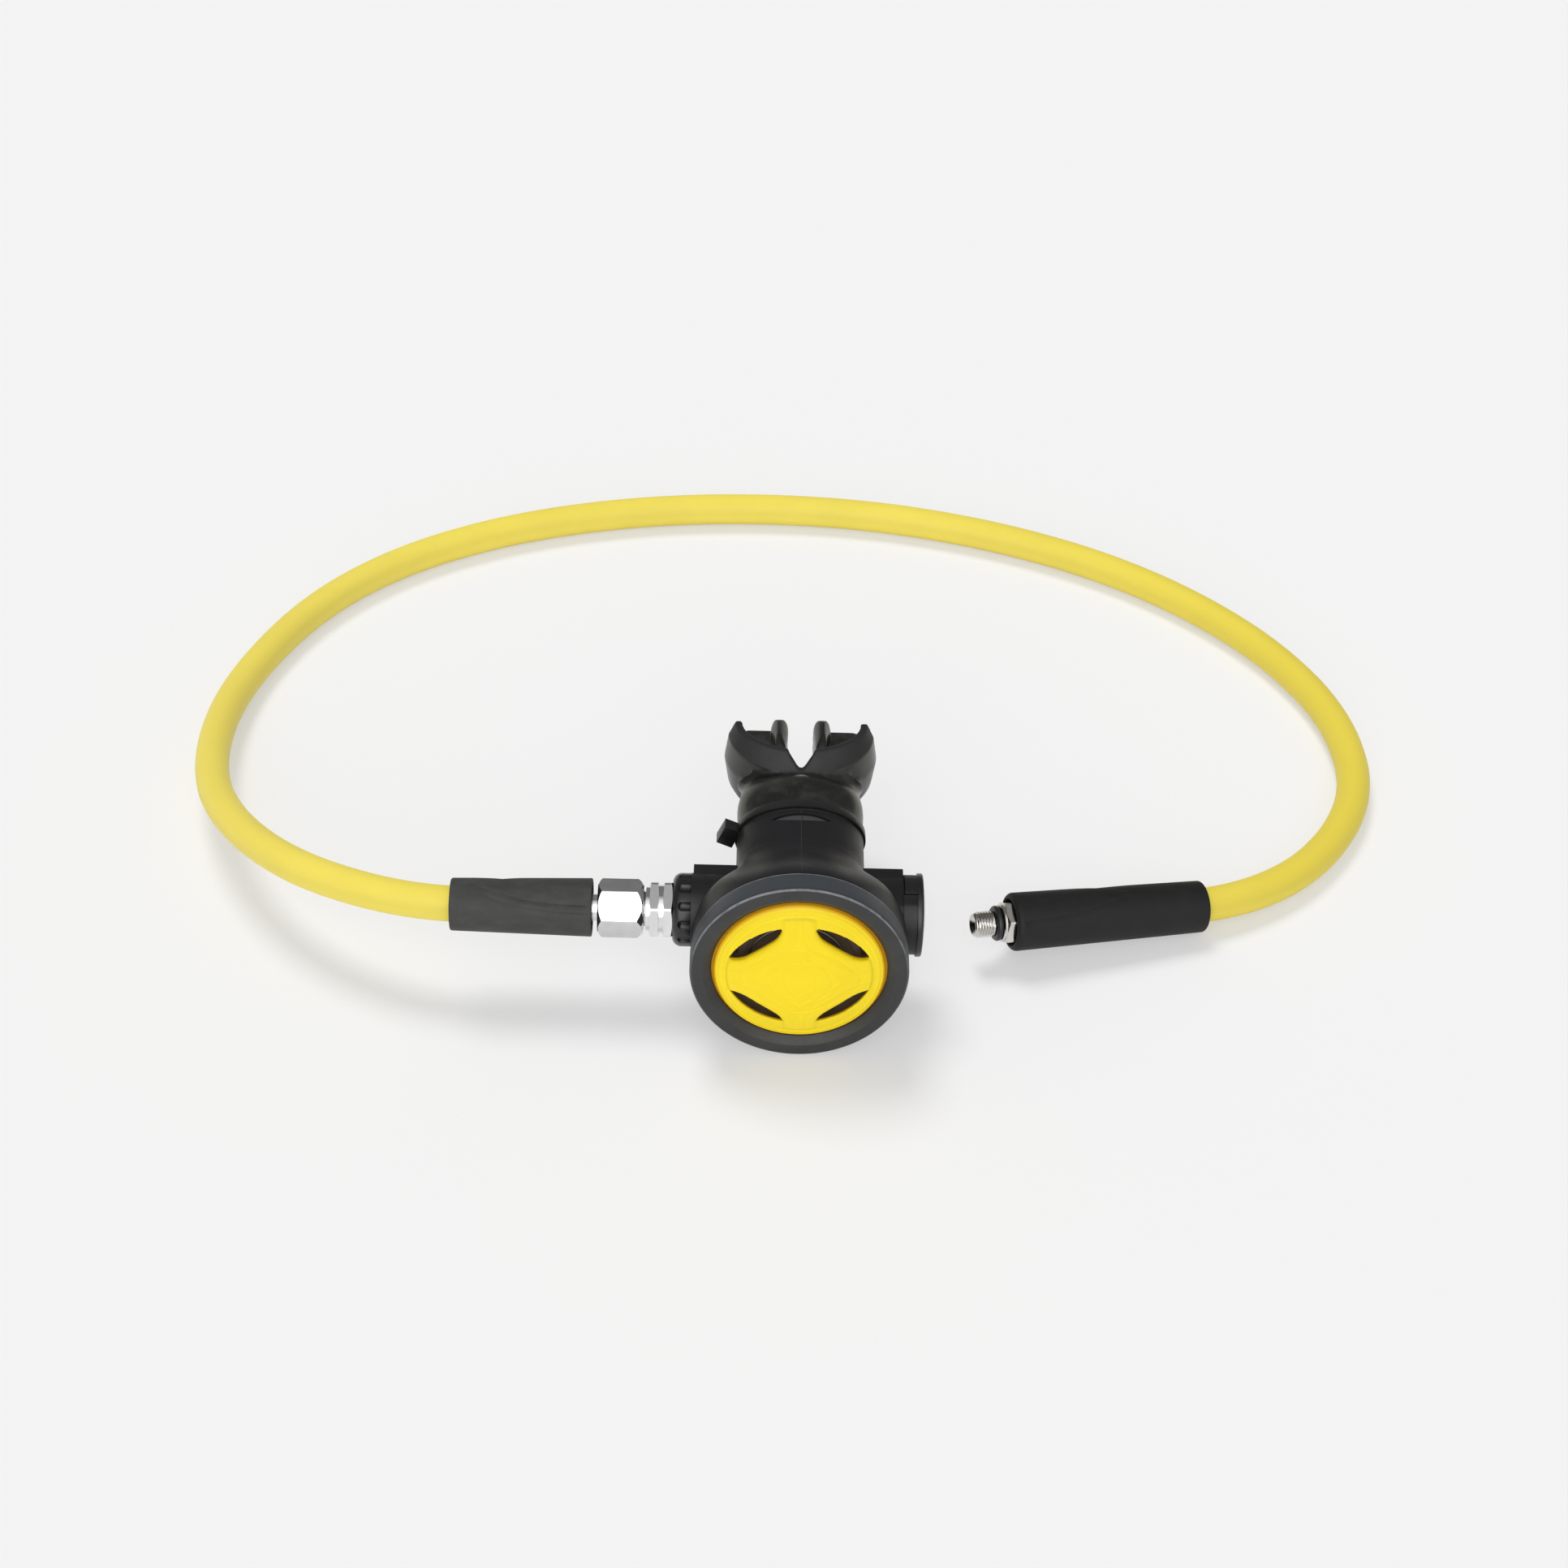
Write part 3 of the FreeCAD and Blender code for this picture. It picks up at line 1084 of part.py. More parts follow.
def bite_half(side):
    """One bite plate with its upright lug, on the side given as -1 or 1."""
    middle = SHIELD_AXIS_HEIGHT
    front = SHIELD_FRONT + 2.0

    def place(x, y):
        return Vector(side * x, y, middle - BITE_THICKNESS / 2)

    plate = Part.Face(outline(place, [
        (BITE_INNER + 1.5, front + 2),
        (BITE_OUTER - 7.0, front + 2),
        ((BITE_OUTER - 1.4, front + BITE_CURVE_LENGTH * 0.45), (BITE_OUTER, front + BITE_CURVE_LENGTH)),
        (BITE_OUTER, BITE_REAR - 6),
        ((BITE_OUTER - 1.2, BITE_REAR - 2.2), (BITE_OUTER - 5, BITE_REAR)),
        (BITE_INNER + 3, BITE_REAR),
        ((BITE_INNER + 0.6, BITE_REAR - 0.8), (BITE_INNER, BITE_REAR - 3)),
    ])).extrude(Vector(0, 0, BITE_THICKNESS))

    lug_front = front + 10
    side_view = Part.Face(outline(lambda y, z: Vector(side * BITE_INNER, y, middle + z), [
        (lug_front, -BITE_THICKNESS / 2),
        (lug_front, BITE_THICKNESS / 2),
        ((lug_front + 6, LUG_HALF_HEIGHT * 0.72), (BITE_REAR - 6, LUG_HALF_HEIGHT)),
        ((BITE_REAR - 1, LUG_HALF_HEIGHT * 0.7), (BITE_REAR, 0)),
        ((BITE_REAR - 1, -LUG_HALF_HEIGHT * 0.7), (BITE_REAR - 6, -LUG_HALF_HEIGHT)),
        ((lug_front + 6, -LUG_HALF_HEIGHT * 0.72), (lug_front, -BITE_THICKNESS / 2)),
    ])).extrude(Vector(side * LUG_SPREAD, 0, 0))
    plan = Part.Face(outline(lambda x, y: Vector(side * x, y, middle - LUG_HALF_HEIGHT), [
        (BITE_INNER + 1.0, lug_front),
        (BITE_INNER + 1.0 + LUG_THICKNESS, lug_front),
        (BITE_INNER + LUG_SPREAD - 0.4, BITE_REAR - 8),
        ((BITE_INNER + LUG_SPREAD / 2 + 1.6, BITE_REAR - 0.8), (BITE_INNER + LUG_SPREAD / 2, BITE_REAR)),
        ((BITE_INNER + 0.6, BITE_REAR - 1.6), (BITE_INNER, BITE_REAR - 6)),
    ])).extrude(Vector(0, 0, 2 * LUG_HALF_HEIGHT))
    petal = Part.Face(outline(lambda x, z: Vector(side * (BITE_INNER + x), lug_front - 1, middle + z), [
        (LUG_WAIST_INSET, 0),
        ((0, LUG_HALF_HEIGHT * 0.55), (LUG_SPREAD * 0.18, LUG_HALF_HEIGHT * 0.88)),
        ((LUG_SPREAD * 0.5, LUG_HALF_HEIGHT), (LUG_SPREAD * 0.84, LUG_HALF_HEIGHT * 0.85)),
        ((LUG_SPREAD, LUG_HALF_HEIGHT * 0.5), (LUG_SPREAD - LUG_WAIST_INSET, 0)),
        ((LUG_SPREAD, -LUG_HALF_HEIGHT * 0.5), (LUG_SPREAD * 0.84, -LUG_HALF_HEIGHT * 0.85)),
        ((LUG_SPREAD * 0.5, -LUG_HALF_HEIGHT), (LUG_SPREAD * 0.18, -LUG_HALF_HEIGHT * 0.88)),
        ((0, -LUG_HALF_HEIGHT * 0.55), (LUG_WAIST_INSET, 0)),
    ])).extrude(Vector(0, BITE_REAR - lug_front + 2, 0))
    return plate.fuse(side_view.common(plan).common(petal))


def mouthpiece():
    seat = oval_tube(TUBE_END, TUBE_END + TIE_SEAT, NECK_HALF_WIDTH, NECK_HALF_HEIGHT, TUBE_AXIS_HEIGHT)
    body = seat.fuse(oval_loft(neck_sections())).fuse(lip_shield())
    for side in (-1, 1):
        body = body.fuse(bite_half(side))
    bore = oval_tube(
        TUBE_END - 1, TUBE_END + SPIGOT_LENGTH + REST_GAP,
        TUBE_HALF_WIDTH - SPIGOT_STEP + RUN_GAP, TUBE_HALF_HEIGHT - SPIGOT_STEP + RUN_GAP, TUBE_AXIS_HEIGHT)
    airway = oval_loft([
        (TUBE_END + SPIGOT_LENGTH, SPIGOT_BORE_HALF_WIDTH, SPIGOT_BORE_HALF_HEIGHT, TUBE_AXIS_HEIGHT),
        (SHIELD_FRONT - 2, AIRWAY_HALF_WIDTH, AIRWAY_HALF_HEIGHT, SHIELD_AXIS_HEIGHT),
        (SHIELD_FRONT + 7, AIRWAY_HALF_WIDTH, AIRWAY_HALF_HEIGHT - 1.0, SHIELD_AXIS_HEIGHT),
    ])
    top = SHIELD_AXIS_HEIGHT + SHIELD_HALF_HEIGHT
    notch = Part.Face(outline(lambda x, z: Vector(x, SHIELD_FRONT - 1.0, z), [
        (-NOTCH_HALF_WIDTH, top + 0.5),
        (-1.6, top - NOTCH_DEPTH + 0.7),
        ((0, top - NOTCH_DEPTH), (1.6, top - NOTCH_DEPTH + 0.7)),
        (NOTCH_HALF_WIDTH, top + 0.5),
    ])).extrude(Vector(0, NOTCH_LENGTH, 0))
    return body.cut(bore).cut(airway).cut(notch).removeSplitter()


def tie_strap():
    """Cable tie: an oval strap round the neck, with its head on the left."""
    front = TUBE_END + TIE_OFFSET
    strap = oval_tube(
        front, front + TIE_WIDTH,
        NECK_HALF_WIDTH + TIE_THICKNESS, NECK_HALF_HEIGHT + TIE_THICKNESS, TUBE_AXIS_HEIGHT)
    middle = front + TIE_WIDTH / 2
    width, depth, height = TIE_HEAD
    corner = (
        -NECK_HALF_WIDTH - TIE_THICKNESS / 2 - width,
        middle - depth / 2,
        TUBE_AXIS_HEIGHT - height / 2)
    head = Part.makeBox(width, depth, height, Vector(*corner))
    hinge = Vector(-NECK_HALF_WIDTH - TIE_THICKNESS / 2, middle, TUBE_AXIS_HEIGHT)
    head.rotate(hinge, ALONG_Y, TIE_HEAD_TURN)
    tie = strap.fuse(head)
    inside = oval_tube(front - 3, front + TIE_WIDTH + 3, NECK_HALF_WIDTH, NECK_HALF_HEIGHT, TUBE_AXIS_HEIGHT)
    return tie.cut(inside).removeSplitter()


def exhaust_valve():
    """Mushroom valve: a thin disc under the seat and a stem with a bead above its hub."""
    top = SUMP_BOTTOM
    disc_low = top - EXHAUST_DISC_THICKNESS
    above = SUMP_BOTTOM + SEAT_THICKNESS
    stem = EXHAUST_STEM_RADIUS
    return turned_z([
        (disc_low - 0.6, 0),
        (disc_low, EXHAUST_DISC_RADIUS * 0.4),
        (top - 0.5, EXHAUST_DISC_RADIUS),
        (top, EXHAUST_DISC_RADIUS),
        (top, stem),
        (above, stem),
        (above, stem + 0.8),
        (above + 1.4, stem + 0.2),
        (above + 4.5, stem - 0.4),
        (above + 4.5, 0),
    ], 0, SUMP_DEPTH)


def rounded_section(x, front, rear, bottom, top, corner):
    """Upright rounded rectangle across X, as a closed wire."""
    c = corner
    m = corner * (1 - math.sqrt(0.5))
    return outline(lambda y, z: Vector(x, y, z), [
        (front + c, bottom),
        (rear - c, bottom),
        ((rear - m, bottom + m), (rear, bottom + c)),
        (rear, top - c),
        ((rear - m, top - m), (rear - c, top)),
        (front + c, top),
        ((front + m, top - m), (front, top - c)),
        (front, bottom + c),
        ((front + m, bottom + m), (front + c, bottom)),
    ])


def exhaust_tee():
    """Rubber tee that takes the breath out to both sides, and the regulator's rear foot."""
    collar_radius = SUMP_RADIUS + TEE_WALL
    middle_front = SUMP_DEPTH - collar_radius
    middle_rear = SUMP_DEPTH + collar_radius + 1
    middle_top = SUMP_BOTTOM + 1.0
    places = [
        (-TEE_HALF_WIDTH, TEE_END_FRONT, TEE_END_REAR, TEE_END_TOP),
        (-collar_radius, middle_front, middle_rear, middle_top),
        (collar_radius, middle_front, middle_rear, middle_top),
        (TEE_HALF_WIDTH, TEE_END_FRONT, TEE_END_REAR, TEE_END_TOP),
    ]
    outer = Part.makeLoft([
        rounded_section(x, front, rear, 0, top, TEE_CORNER) for x, front, rear, top in places
    ], True, True)
    wall = TEE_WALL
    stretch = 1.02
    inner = Part.makeLoft([
        rounded_section(x * stretch, front + wall, rear - wall, wall, top - wall, TEE_CORNER - wall)
        for x, front, rear, top in places
    ], True, True)
    collar = turned_z([
        (middle_top - 3, SUMP_RADIUS),
        (middle_top - 3, collar_radius),
        (TEE_COLLAR_TOP, collar_radius),
        (TEE_COLLAR_TOP, SUMP_RADIUS),
    ], 0, SUMP_DEPTH)
    well = Part.makeCylinder(
        SUMP_RADIUS, TEE_COLLAR_TOP, Vector(0, SUMP_DEPTH, middle_top - wall - 2), ALONG_Z)
    tee = outer.fuse(collar).cut(inner).cut(well)
    return tee.removeSplitter()


def route_path(points):
    """Straight runs joined by tangent arcs through a list of points; also gives the radii."""
    points = [Vector(*point) for point in points]
    edges = []
    radii = []
    here = points[0]
    for before, corner, after in zip(points, points[1:], points[2:]):
        back = before - corner
        ahead = after - corner
        shorter = min(back.Length, ahead.Length)
        turn = math.pi - back.getAngle(ahead)
        reach = ARC_SHARE * shorter
        radius = reach / math.tan(turn / 2)
        back.normalize()
        ahead.normalize()
        start = corner + back * reach
        end = corner + ahead * reach
        inward = back + ahead
        inward.normalize()
        middle = corner + inward * (radius / math.cos(turn / 2) - radius)
        edges.append(Part.LineSegment(here, start).toShape())
        edges.append(Part.Arc(start, middle, end).toShape())
        radii.append(radius)
        here = end
    edges.append(Part.LineSegment(here, points[-1]).toShape())
    return Part.Wire(edges), radii


def hose():
    path, radii = route_path(HOSE_ROUTE)
    first = path.Edges[0]
    start = first.valueAt(first.FirstParameter)
    tangent = first.tangentAt(first.FirstParameter)
    pipes = []
    for radius in (HOSE_RADIUS, HOSE_BORE):
        section = Part.Wire([Part.makeCircle(radius, start, tangent)])
        pipes.append(path.makePipeShell([section], True, False))
    tube = pipes[0].cut(pipes[1])
    plain = math.pi * (HOSE_RADIUS ** 2 - HOSE_BORE ** 2) * path.Length
    print("hose length %.1f mm, volume over section times length %.4f" % (path.Length, tube.Volume / plain))
    print("hose radii", " ".join("%.0f" % radius for radius in radii))
    return tube


def local_frame():
    """Placement that takes the local X axis from the free tip along the free fitting."""
    turn = FreeCAD.Rotation(ALONG_X, FREE_DIRECTION)
    return FreeCAD.Placement(FREE_TIP, turn)


def in_free_frame(shape):
    shape.Placement = local_frame().multiply(shape.Placement)
    return shape


def ferrule(mouth, direction):
    """Crimped ferrule on local X, with its capped end at mouth and the hose in direction."""
    centre = Vector(0, 0, 0)
    outer = HOSE_RADIUS + FERRULE_WALL
    end = mouth + direction * FERRULE_LENGTH
    cap = mouth + direction * FERRULE_CAP
    return turned_x([
        (mouth, HOSE_BORE),
        (mouth, outer - 0.8),
        (mouth + direction * 0.8, outer),
        (end - direction * 0.8, outer),
        (end, outer - 0.4),
        (end, HOSE_RADIUS),
        (cap, HOSE_RADIUS),
        (cap, HOSE_BORE),
    ], centre)


def hose_end_inlet():
    return HOSE_ROUTE[0][0]


def ferrule_inlet():
    shape = ferrule(hose_end_inlet() + FERRULE_CAP, -1)
    shape.translate(VALVE_AXIS)
    return shape


def hose_stem_inlet():
    """Hose tail, neck, swivel collar and sealing nose, in one turned piece."""
    mouth = hose_end_inlet() + FERRULE_CAP
    tail = mouth - FERRULE_LENGTH + 1.0
    collar_left = STEM_COLLAR_RIGHT - 2.0
    nose = INLET_THREAD_LEFT + 7.8
    groove = INLET_THREAD_LEFT + 5.0
    return turned_x([
        (tail, STEM_BORE),
        (tail, HOSE_BORE),
        (mouth, HOSE_BORE),
        (mouth, STEM_SHOULDER_RADIUS),
        (mouth + 1.5, STEM_SHOULDER_RADIUS),
        (mouth + 1.5, STEM_NECK_RADIUS),
        (collar_left, STEM_NECK_RADIUS),
        (collar_left, STEM_COLLAR_RADIUS),
        (STEM_COLLAR_RIGHT, STEM_COLLAR_RADIUS),
        (STEM_COLLAR_RIGHT, STEM_NOSE_RADIUS),
        (groove - 0.8, STEM_NOSE_RADIUS),
        (groove - 0.8, STEM_NOSE_RADIUS - 0.8),
        (groove + 0.8, STEM_NOSE_RADIUS - 0.8),
        (groove + 0.8, STEM_NOSE_RADIUS),
        (nose, STEM_NOSE_RADIUS),
        (nose, STEM_BORE),
    ])


def stem_o_ring():
    outer = STEM_NOSE_RADIUS + RUN_GAP
    inner = STEM_NOSE_RADIUS - 0.8
    return ring_seal(INLET_THREAD_LEFT + 5.0, (outer + inner) / 2, (outer - inner) / 2)


def swivel_nut():
    """Hexagon nut, bored for the thread, with a rear wall that bears on the stem's collar."""
    nut = hexagon(NUT_FLATS, NUT_LEFT, NUT_RIGHT, NUT_TURN, HEX_CHAMFER)
    inside = STEM_COLLAR_RIGHT - 2.0 - RUN_GAP
    nut = nut.cut(rod_x(inside, NUT_RIGHT + 1, INLET_THREAD_RADIUS + RUN_GAP))
    return nut.cut(rod_x(NUT_LEFT - 1, inside + 1, STEM_NECK_RADIUS + RUN_GAP))


def hose_sleeve(start, direction, length, fitting_radius, hose_radius, ferrule_end, edge):
    """Tapered rubber sleeve on local X, from its fitting end in the direction of the hose."""
    end = start + direction * length
    small = edge * (1 - math.sqrt(0.5))
    ferrule_radius = HOSE_RADIUS + FERRULE_WALL
    return turned_x([
        (start, ferrule_radius),
        (start, fitting_radius - edge),
        (
            (start + direction * small, fitting_radius - small),
            (start + direction * edge, fitting_radius),
        ),
        (end - direction * edge, hose_radius),
        (
            (end - direction * small, hose_radius - small),
            (end, hose_radius - edge),
        ),
        (end, HOSE_RADIUS + SLEEVE_MOUTH_GAP),
        (ferrule_end, HOSE_RADIUS + SLEEVE_HOSE_GAP),
        (ferrule_end, ferrule_radius),
    ], Vector(0, 0, 0))


def hose_sleeve_inlet():
    ferrule_end = hose_end_inlet() + FERRULE_CAP - FERRULE_LENGTH
    shape = hose_sleeve(
        SLEEVE_RIGHT, -1, INLET_SLEEVE_LENGTH, INLET_SLEEVE_NUT_RADIUS, INLET_SLEEVE_HOSE_RADIUS,
        ferrule_end, INLET_SLEEVE_ROUND)
    shape.translate(VALVE_AXIS)
    return shape


def free_places():
    """Distances from the free tip to the groove, the collar, the hexagon and the stem's shoulder."""
    thread = PORT_THREAD_PITCH * PORT_THREAD_TURNS + 0.3
    collar = thread + PORT_GROOVE_LENGTH
    hexagon_start = collar + PORT_COLLAR_LENGTH
    shoulder = hexagon_start + PORT_HEX_LENGTH
    return thread, collar, hexagon_start, shoulder


def end_fitting():
    """Male port fitting: thread, seal groove, collar, hexagon and hose tail, on local X."""
    thread, collar, hexagon_start, shoulder = free_places()
    root = PORT_THREAD_RADIUS - THREAD_DEPTH_SHARE * PORT_THREAD_PITCH
    mouth = FREE_TIP_TO_HOSE - FERRULE_CAP
    tail = mouth + FERRULE_LENGTH - 1.0
    centre = Vector(0, 0, 0)
    steps = [(0, PORT_MOUTH_RADIUS), (0, root)]
    steps += thread_steps(0.15, PORT_THREAD_TURNS, PORT_THREAD_PITCH, PORT_THREAD_RADIUS, root)
    steps += [
        (thread, root),
        (collar, root),
        (collar, PORT_COLLAR_RADIUS),
        (hexagon_start, PORT_COLLAR_RADIUS),
        (shoulder, PORT_COLLAR_RADIUS),
        (shoulder, STEM_SHOULDER_RADIUS),
        (mouth, STEM_SHOULDER_RADIUS),
        (mouth, HOSE_BORE),
        (tail, HOSE_BORE),
        (tail, PORT_BORE),
        (PORT_MOUTH_RADIUS - PORT_BORE, PORT_BORE),
    ]
    body = turned_x(steps, centre)
    hexagon_shape = hexagon(PORT_HEX_FLATS, hexagon_start, shoulder, CORNER_IN_FRONT, HEX_CHAMFER)
    hexagon_shape.translate(Vector(0, -VALVE_AXIS.y, -VALVE_AXIS.z))
    hexagon_shape = hexagon_shape.cut(rod_x(hexagon_start - 1, shoulder + 1, PORT_BORE, centre))
    return in_free_frame(body.fuse(hexagon_shape).removeSplitter())


def end_fitting_o_ring():
    thread, collar, _, _ = free_places()
    root = PORT_THREAD_RADIUS - THREAD_DEPTH_SHARE * PORT_THREAD_PITCH
    wire = PORT_O_RING_WIRE_RADIUS
    return in_free_frame(ring_seal((thread + collar) / 2, root + wire, wire, Vector(0, 0, 0)))


def ferrule_free():
    return in_free_frame(ferrule(FREE_TIP_TO_HOSE - FERRULE_CAP, 1))


def hose_sleeve_free():
    ferrule_end = FREE_TIP_TO_HOSE - FERRULE_CAP + FERRULE_LENGTH
    return in_free_frame(hose_sleeve(
        FREE_SLEEVE_START, 1, FREE_SLEEVE_LENGTH, FREE_SLEEVE_FITTING_RADIUS, FREE_SLEEVE_HOSE_RADIUS,
        ferrule_end, FREE_SLEEVE_ROUND))


PIECES = {
    "case_body": case_body,
    "mouth_tube": mouth_tube,
    "front_ring": front_ring,
    "purge_cover": purge_cover,
    "purge_spring": purge_spring,
    "diaphragm_retainer": diaphragm_retainer,
    "diaphragm": diaphragm,
    "diaphragm_plate": diaphragm_plate,
    "valve_tube": valve_tube,
    "valve_o_rings": valve_o_rings,
    "inlet_fitting": inlet_fitting,
    "orifice": orifice,
    "orifice_o_ring": orifice_o_ring,
    "poppet": poppet,
    "poppet_seat": poppet_seat,
    "poppet_spring": poppet_spring,
    "poppet_lock_nut": poppet_lock_nut,
    "demand_lever": demand_lever,
    "lever_pivot_pin": lever_pivot_pin,
    "lock_ring": lock_ring,
    "air_deflector": air_deflector,
    "end_cap": end_cap,
    "end_cap_o_ring": end_cap_o_ring,
    "mouthpiece": mouthpiece,
    "tie_strap": tie_strap,
    "exhaust_valve": exhaust_valve,
    "exhaust_tee": exhaust_tee,
    "hose": hose,
    "hose_stem_inlet": hose_stem_inlet,
    "stem_o_ring": stem_o_ring,
    "swivel_nut": swivel_nut,
    "ferrule_inlet": ferrule_inlet,
    "hose_sleeve_inlet": hose_sleeve_inlet,
    "end_fitting": end_fitting,
    "end_fitting_o_ring": end_fitting_o_ring,
    "ferrule_free": ferrule_free,
    "hose_sleeve_free": hose_sleeve_free,
}


def main():
    os.makedirs("parts", exist_ok=True)
    for name, make in PIECES.items():
        shape = make()
        shape.translate(ORIGIN_SHIFT)
        size = shape.BoundBox
        print("%-20s valid %s solids %d volume %9.1f box %.1f %.1f %.1f to %.1f %.1f %.1f" % (
            name, shape.isValid(), len(shape.Solids), shape.Volume,
            size.XMin, size.YMin, size.ZMin, size.XMax, size.YMax, size.ZMax))
        shape.exportStep("parts/%s.step" % name)


main()
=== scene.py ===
"""Dresses the packed second stage and its low-pressure hose for a studio picture."""

import math

import bpy
from bpy.props import BoolProperty, FloatProperty, FloatVectorProperty, IntProperty, PointerProperty
from mathutils import Matrix, Vector


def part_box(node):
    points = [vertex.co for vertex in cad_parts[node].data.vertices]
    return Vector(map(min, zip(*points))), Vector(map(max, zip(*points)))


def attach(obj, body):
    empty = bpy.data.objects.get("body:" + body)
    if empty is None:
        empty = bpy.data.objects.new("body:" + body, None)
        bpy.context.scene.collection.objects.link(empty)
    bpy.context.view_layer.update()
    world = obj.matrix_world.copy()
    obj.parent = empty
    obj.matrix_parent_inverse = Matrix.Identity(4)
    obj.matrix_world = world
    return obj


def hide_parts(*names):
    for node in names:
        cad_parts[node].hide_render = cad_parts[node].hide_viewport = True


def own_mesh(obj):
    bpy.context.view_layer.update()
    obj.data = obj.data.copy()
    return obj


bl_info = {
    "name": "Second Stage Regulator",
    "version": (1, 0, 0),
    "blender": (4, 5, 0),
    "location": "View3D > Sidebar > Regulator",
    "description": "Models and finishes a second stage regulator round its packed frame",
    "category": "Object",
}

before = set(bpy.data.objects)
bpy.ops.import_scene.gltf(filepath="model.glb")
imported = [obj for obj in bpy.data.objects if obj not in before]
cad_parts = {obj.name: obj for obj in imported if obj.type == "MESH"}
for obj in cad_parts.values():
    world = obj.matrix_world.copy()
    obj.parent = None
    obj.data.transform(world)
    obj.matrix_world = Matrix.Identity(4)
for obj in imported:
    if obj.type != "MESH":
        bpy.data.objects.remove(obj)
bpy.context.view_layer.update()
MM = 0.001

ring_low, ring_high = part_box("front_ring")
# The ring's own front centre on the floor is where the sizes below are measured from
RING_FOOT = Vector(((ring_low.x + ring_high.x) / 2, ring_low.y, 0.0))
RING_AXIS_HEIGHT = (ring_low.z + ring_high.z) / 2
RING_CENTRE = (RING_FOOT.x, RING_FOOT.y, RING_AXIS_HEIGHT)

# Corner points of the hose in millimetres from the ring's foot, the same as the part's own route
HOSE_ROUTE = [
    (-79.0, 33.0, 37.9),
    (-105.0, 33.0, 37.9),
    (-131.0, 33.5, 37.7),
    (-156.8, 42.0, 36.2),
    (-183.8, 59.6, 32.5),
    (-206.8, 88.1, 26.2),
    (-222.0, 125.6, 17.5),
    (-225.2, 173.1, 10.1),
    (-216.7, 215.5, 6.5),
    (-196.5, 257.5, 6.4),
    (-166.8, 289.8, 6.4),
    (-128.7, 313.4, 6.4),
    (-86.6, 328.2, 6.4),
    (-42.9, 335.9, 6.4),
    (3.5, 336.8, 6.4),
    (47.0, 331.1, 6.4),
    (90.0, 318.3, 6.4),
    (130.5, 298.5, 6.4),
    (165.5, 271.6, 6.4),
    (194.6, 237.6, 6.4),
    (214.4, 195.9, 6.4),
    (217.5, 148.2, 6.4),
    (196.4, 106.1, 6.4),
    (164.1, 79.6, 8.4),
    (121.3, 67.6, 12.3),
    (82.8, 57.3, 15.8),
]


def place(x, y, z):
    """A point given in millimetres from the ring's foot."""
    return RING_FOOT + Vector((x, y, z)) * MM


def ends_of(node):
    """Where a node begins and ends along X, in millimetres from the ring's foot."""
    low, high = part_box(node)
    return (low.x - RING_FOOT.x) / MM, (high.x - RING_FOOT.x) / MM


# The valve's axis runs along X, and the free end has an axis of its own that starts at its tip
VALVE_DEPTH = 33.0
VALVE_AXIS = place(0.0, VALVE_DEPTH, RING_AXIS_HEIGHT / MM)
FREE_TIP_TO_HOSE = 20.5
FREE_HOSE_END = place(*HOSE_ROUTE[-1])
FREE_AXIS = (place(*HOSE_ROUTE[-2]) - FREE_HOSE_END).normalized()
FREE_TIP = FREE_HOSE_END - FREE_AXIS * FREE_TIP_TO_HOSE * MM
HOSE_RADIUS = 6.4
FERRULE_RADIUS = 8.3

# Purge cover: its dome, its rim and the turn of its pattern
DOME_FRONT = -4.0
DOME_RADIUS = 81.06
COVER_RIM = 26.05
COVER_TURN = math.radians(-1.8)

# Front ring: its outer radius, its depth and where its inner bevel begins
RING_RADIUS = 37.9
RING_DEPTH = 8.6
RING_BEVEL_RADIUS = 33.2

# Diaphragm: its skin's front and back, its fold's depth and ends, and its bead
SKIN_FRONT = 9.9
SKIN_BACK = 10.7
FOLD_DEPTH = 2.2
FOLD_ENDS = (23.8, 29.8)
BEAD_DEPTHS = (9.0, 11.0)
BEAD_RADII = (31.3, 33.8)

# How far the cover and the poppet move
PURGE_TRAVEL = 3.0
POPPET_TRAVEL = 1.0

# Mouthpiece: height of its middle, its matt bands above and below the creases, and its upright lugs
MOUTH_HEIGHT = 48.9
MOUTH_CREASE = 9.5
SHIELD_FRONT = 85.6
LUG_FRONT = 97.0
LUG_MIDDLE = 7.8
LUG_HALF_HEIGHT = 9.4

# Drum of the case: its outer radius, where its shoulder starts at the top and the sides, and its end
DRUM_RADIUS = 37.4
SHOULDER_FRONT = (9.0, 18.0)
SHOULDER_REAR = 43.0

# Skin over the shoulder: its reach on the drum and on the tube in degrees, its rear end and thickness
SKIN_REACH = (78.3, 91.5)
SKIN_REAR = 46.5
SKIN_THICKNESS = 0.7
SKIN_ROWS = 76
SKIN_COLUMNS = 120

# Cut under the skin: its share of the skin's width, its rear end, its thickness and how far it is sunk
CUT_WIDTH = 0.78
CUT_REAR = 30.0
CUT_THICKNESS = 6.0
CUT_SUNK = 0.2

# Mouthpiece tube: half its width and height, and the height of its middle
TUBE_HALF = (22.6, 15.0)
TUBE_MIDDLE = 46.9

# Lens-shaped groove on top of the mouthpiece tube
GROOVE_DEPTH = 56.8
GROOVE_HALF = (10.8, 1.95)

# Fittings: widths over the flats, how far a flat leans up from the front, and the plain radii
NUT_FLATS = 18.3
HEX_FLATS = 18.9
FREE_HEX_FLATS = 14.3
NUT_LEAN = 44.0
HEX_LEAN = 8.0
THIN_CHAMFER = (0.25, 0.3)
NECK_RADIUS = 8.6
BARREL_RADIUS = 6.5
BARREL_BORE = 5.2
STEM_BORE = 4.95
SOCKET_BORE = 4.45
ORIFICE_BORE = 3.2
FREE_BORE = 1.9

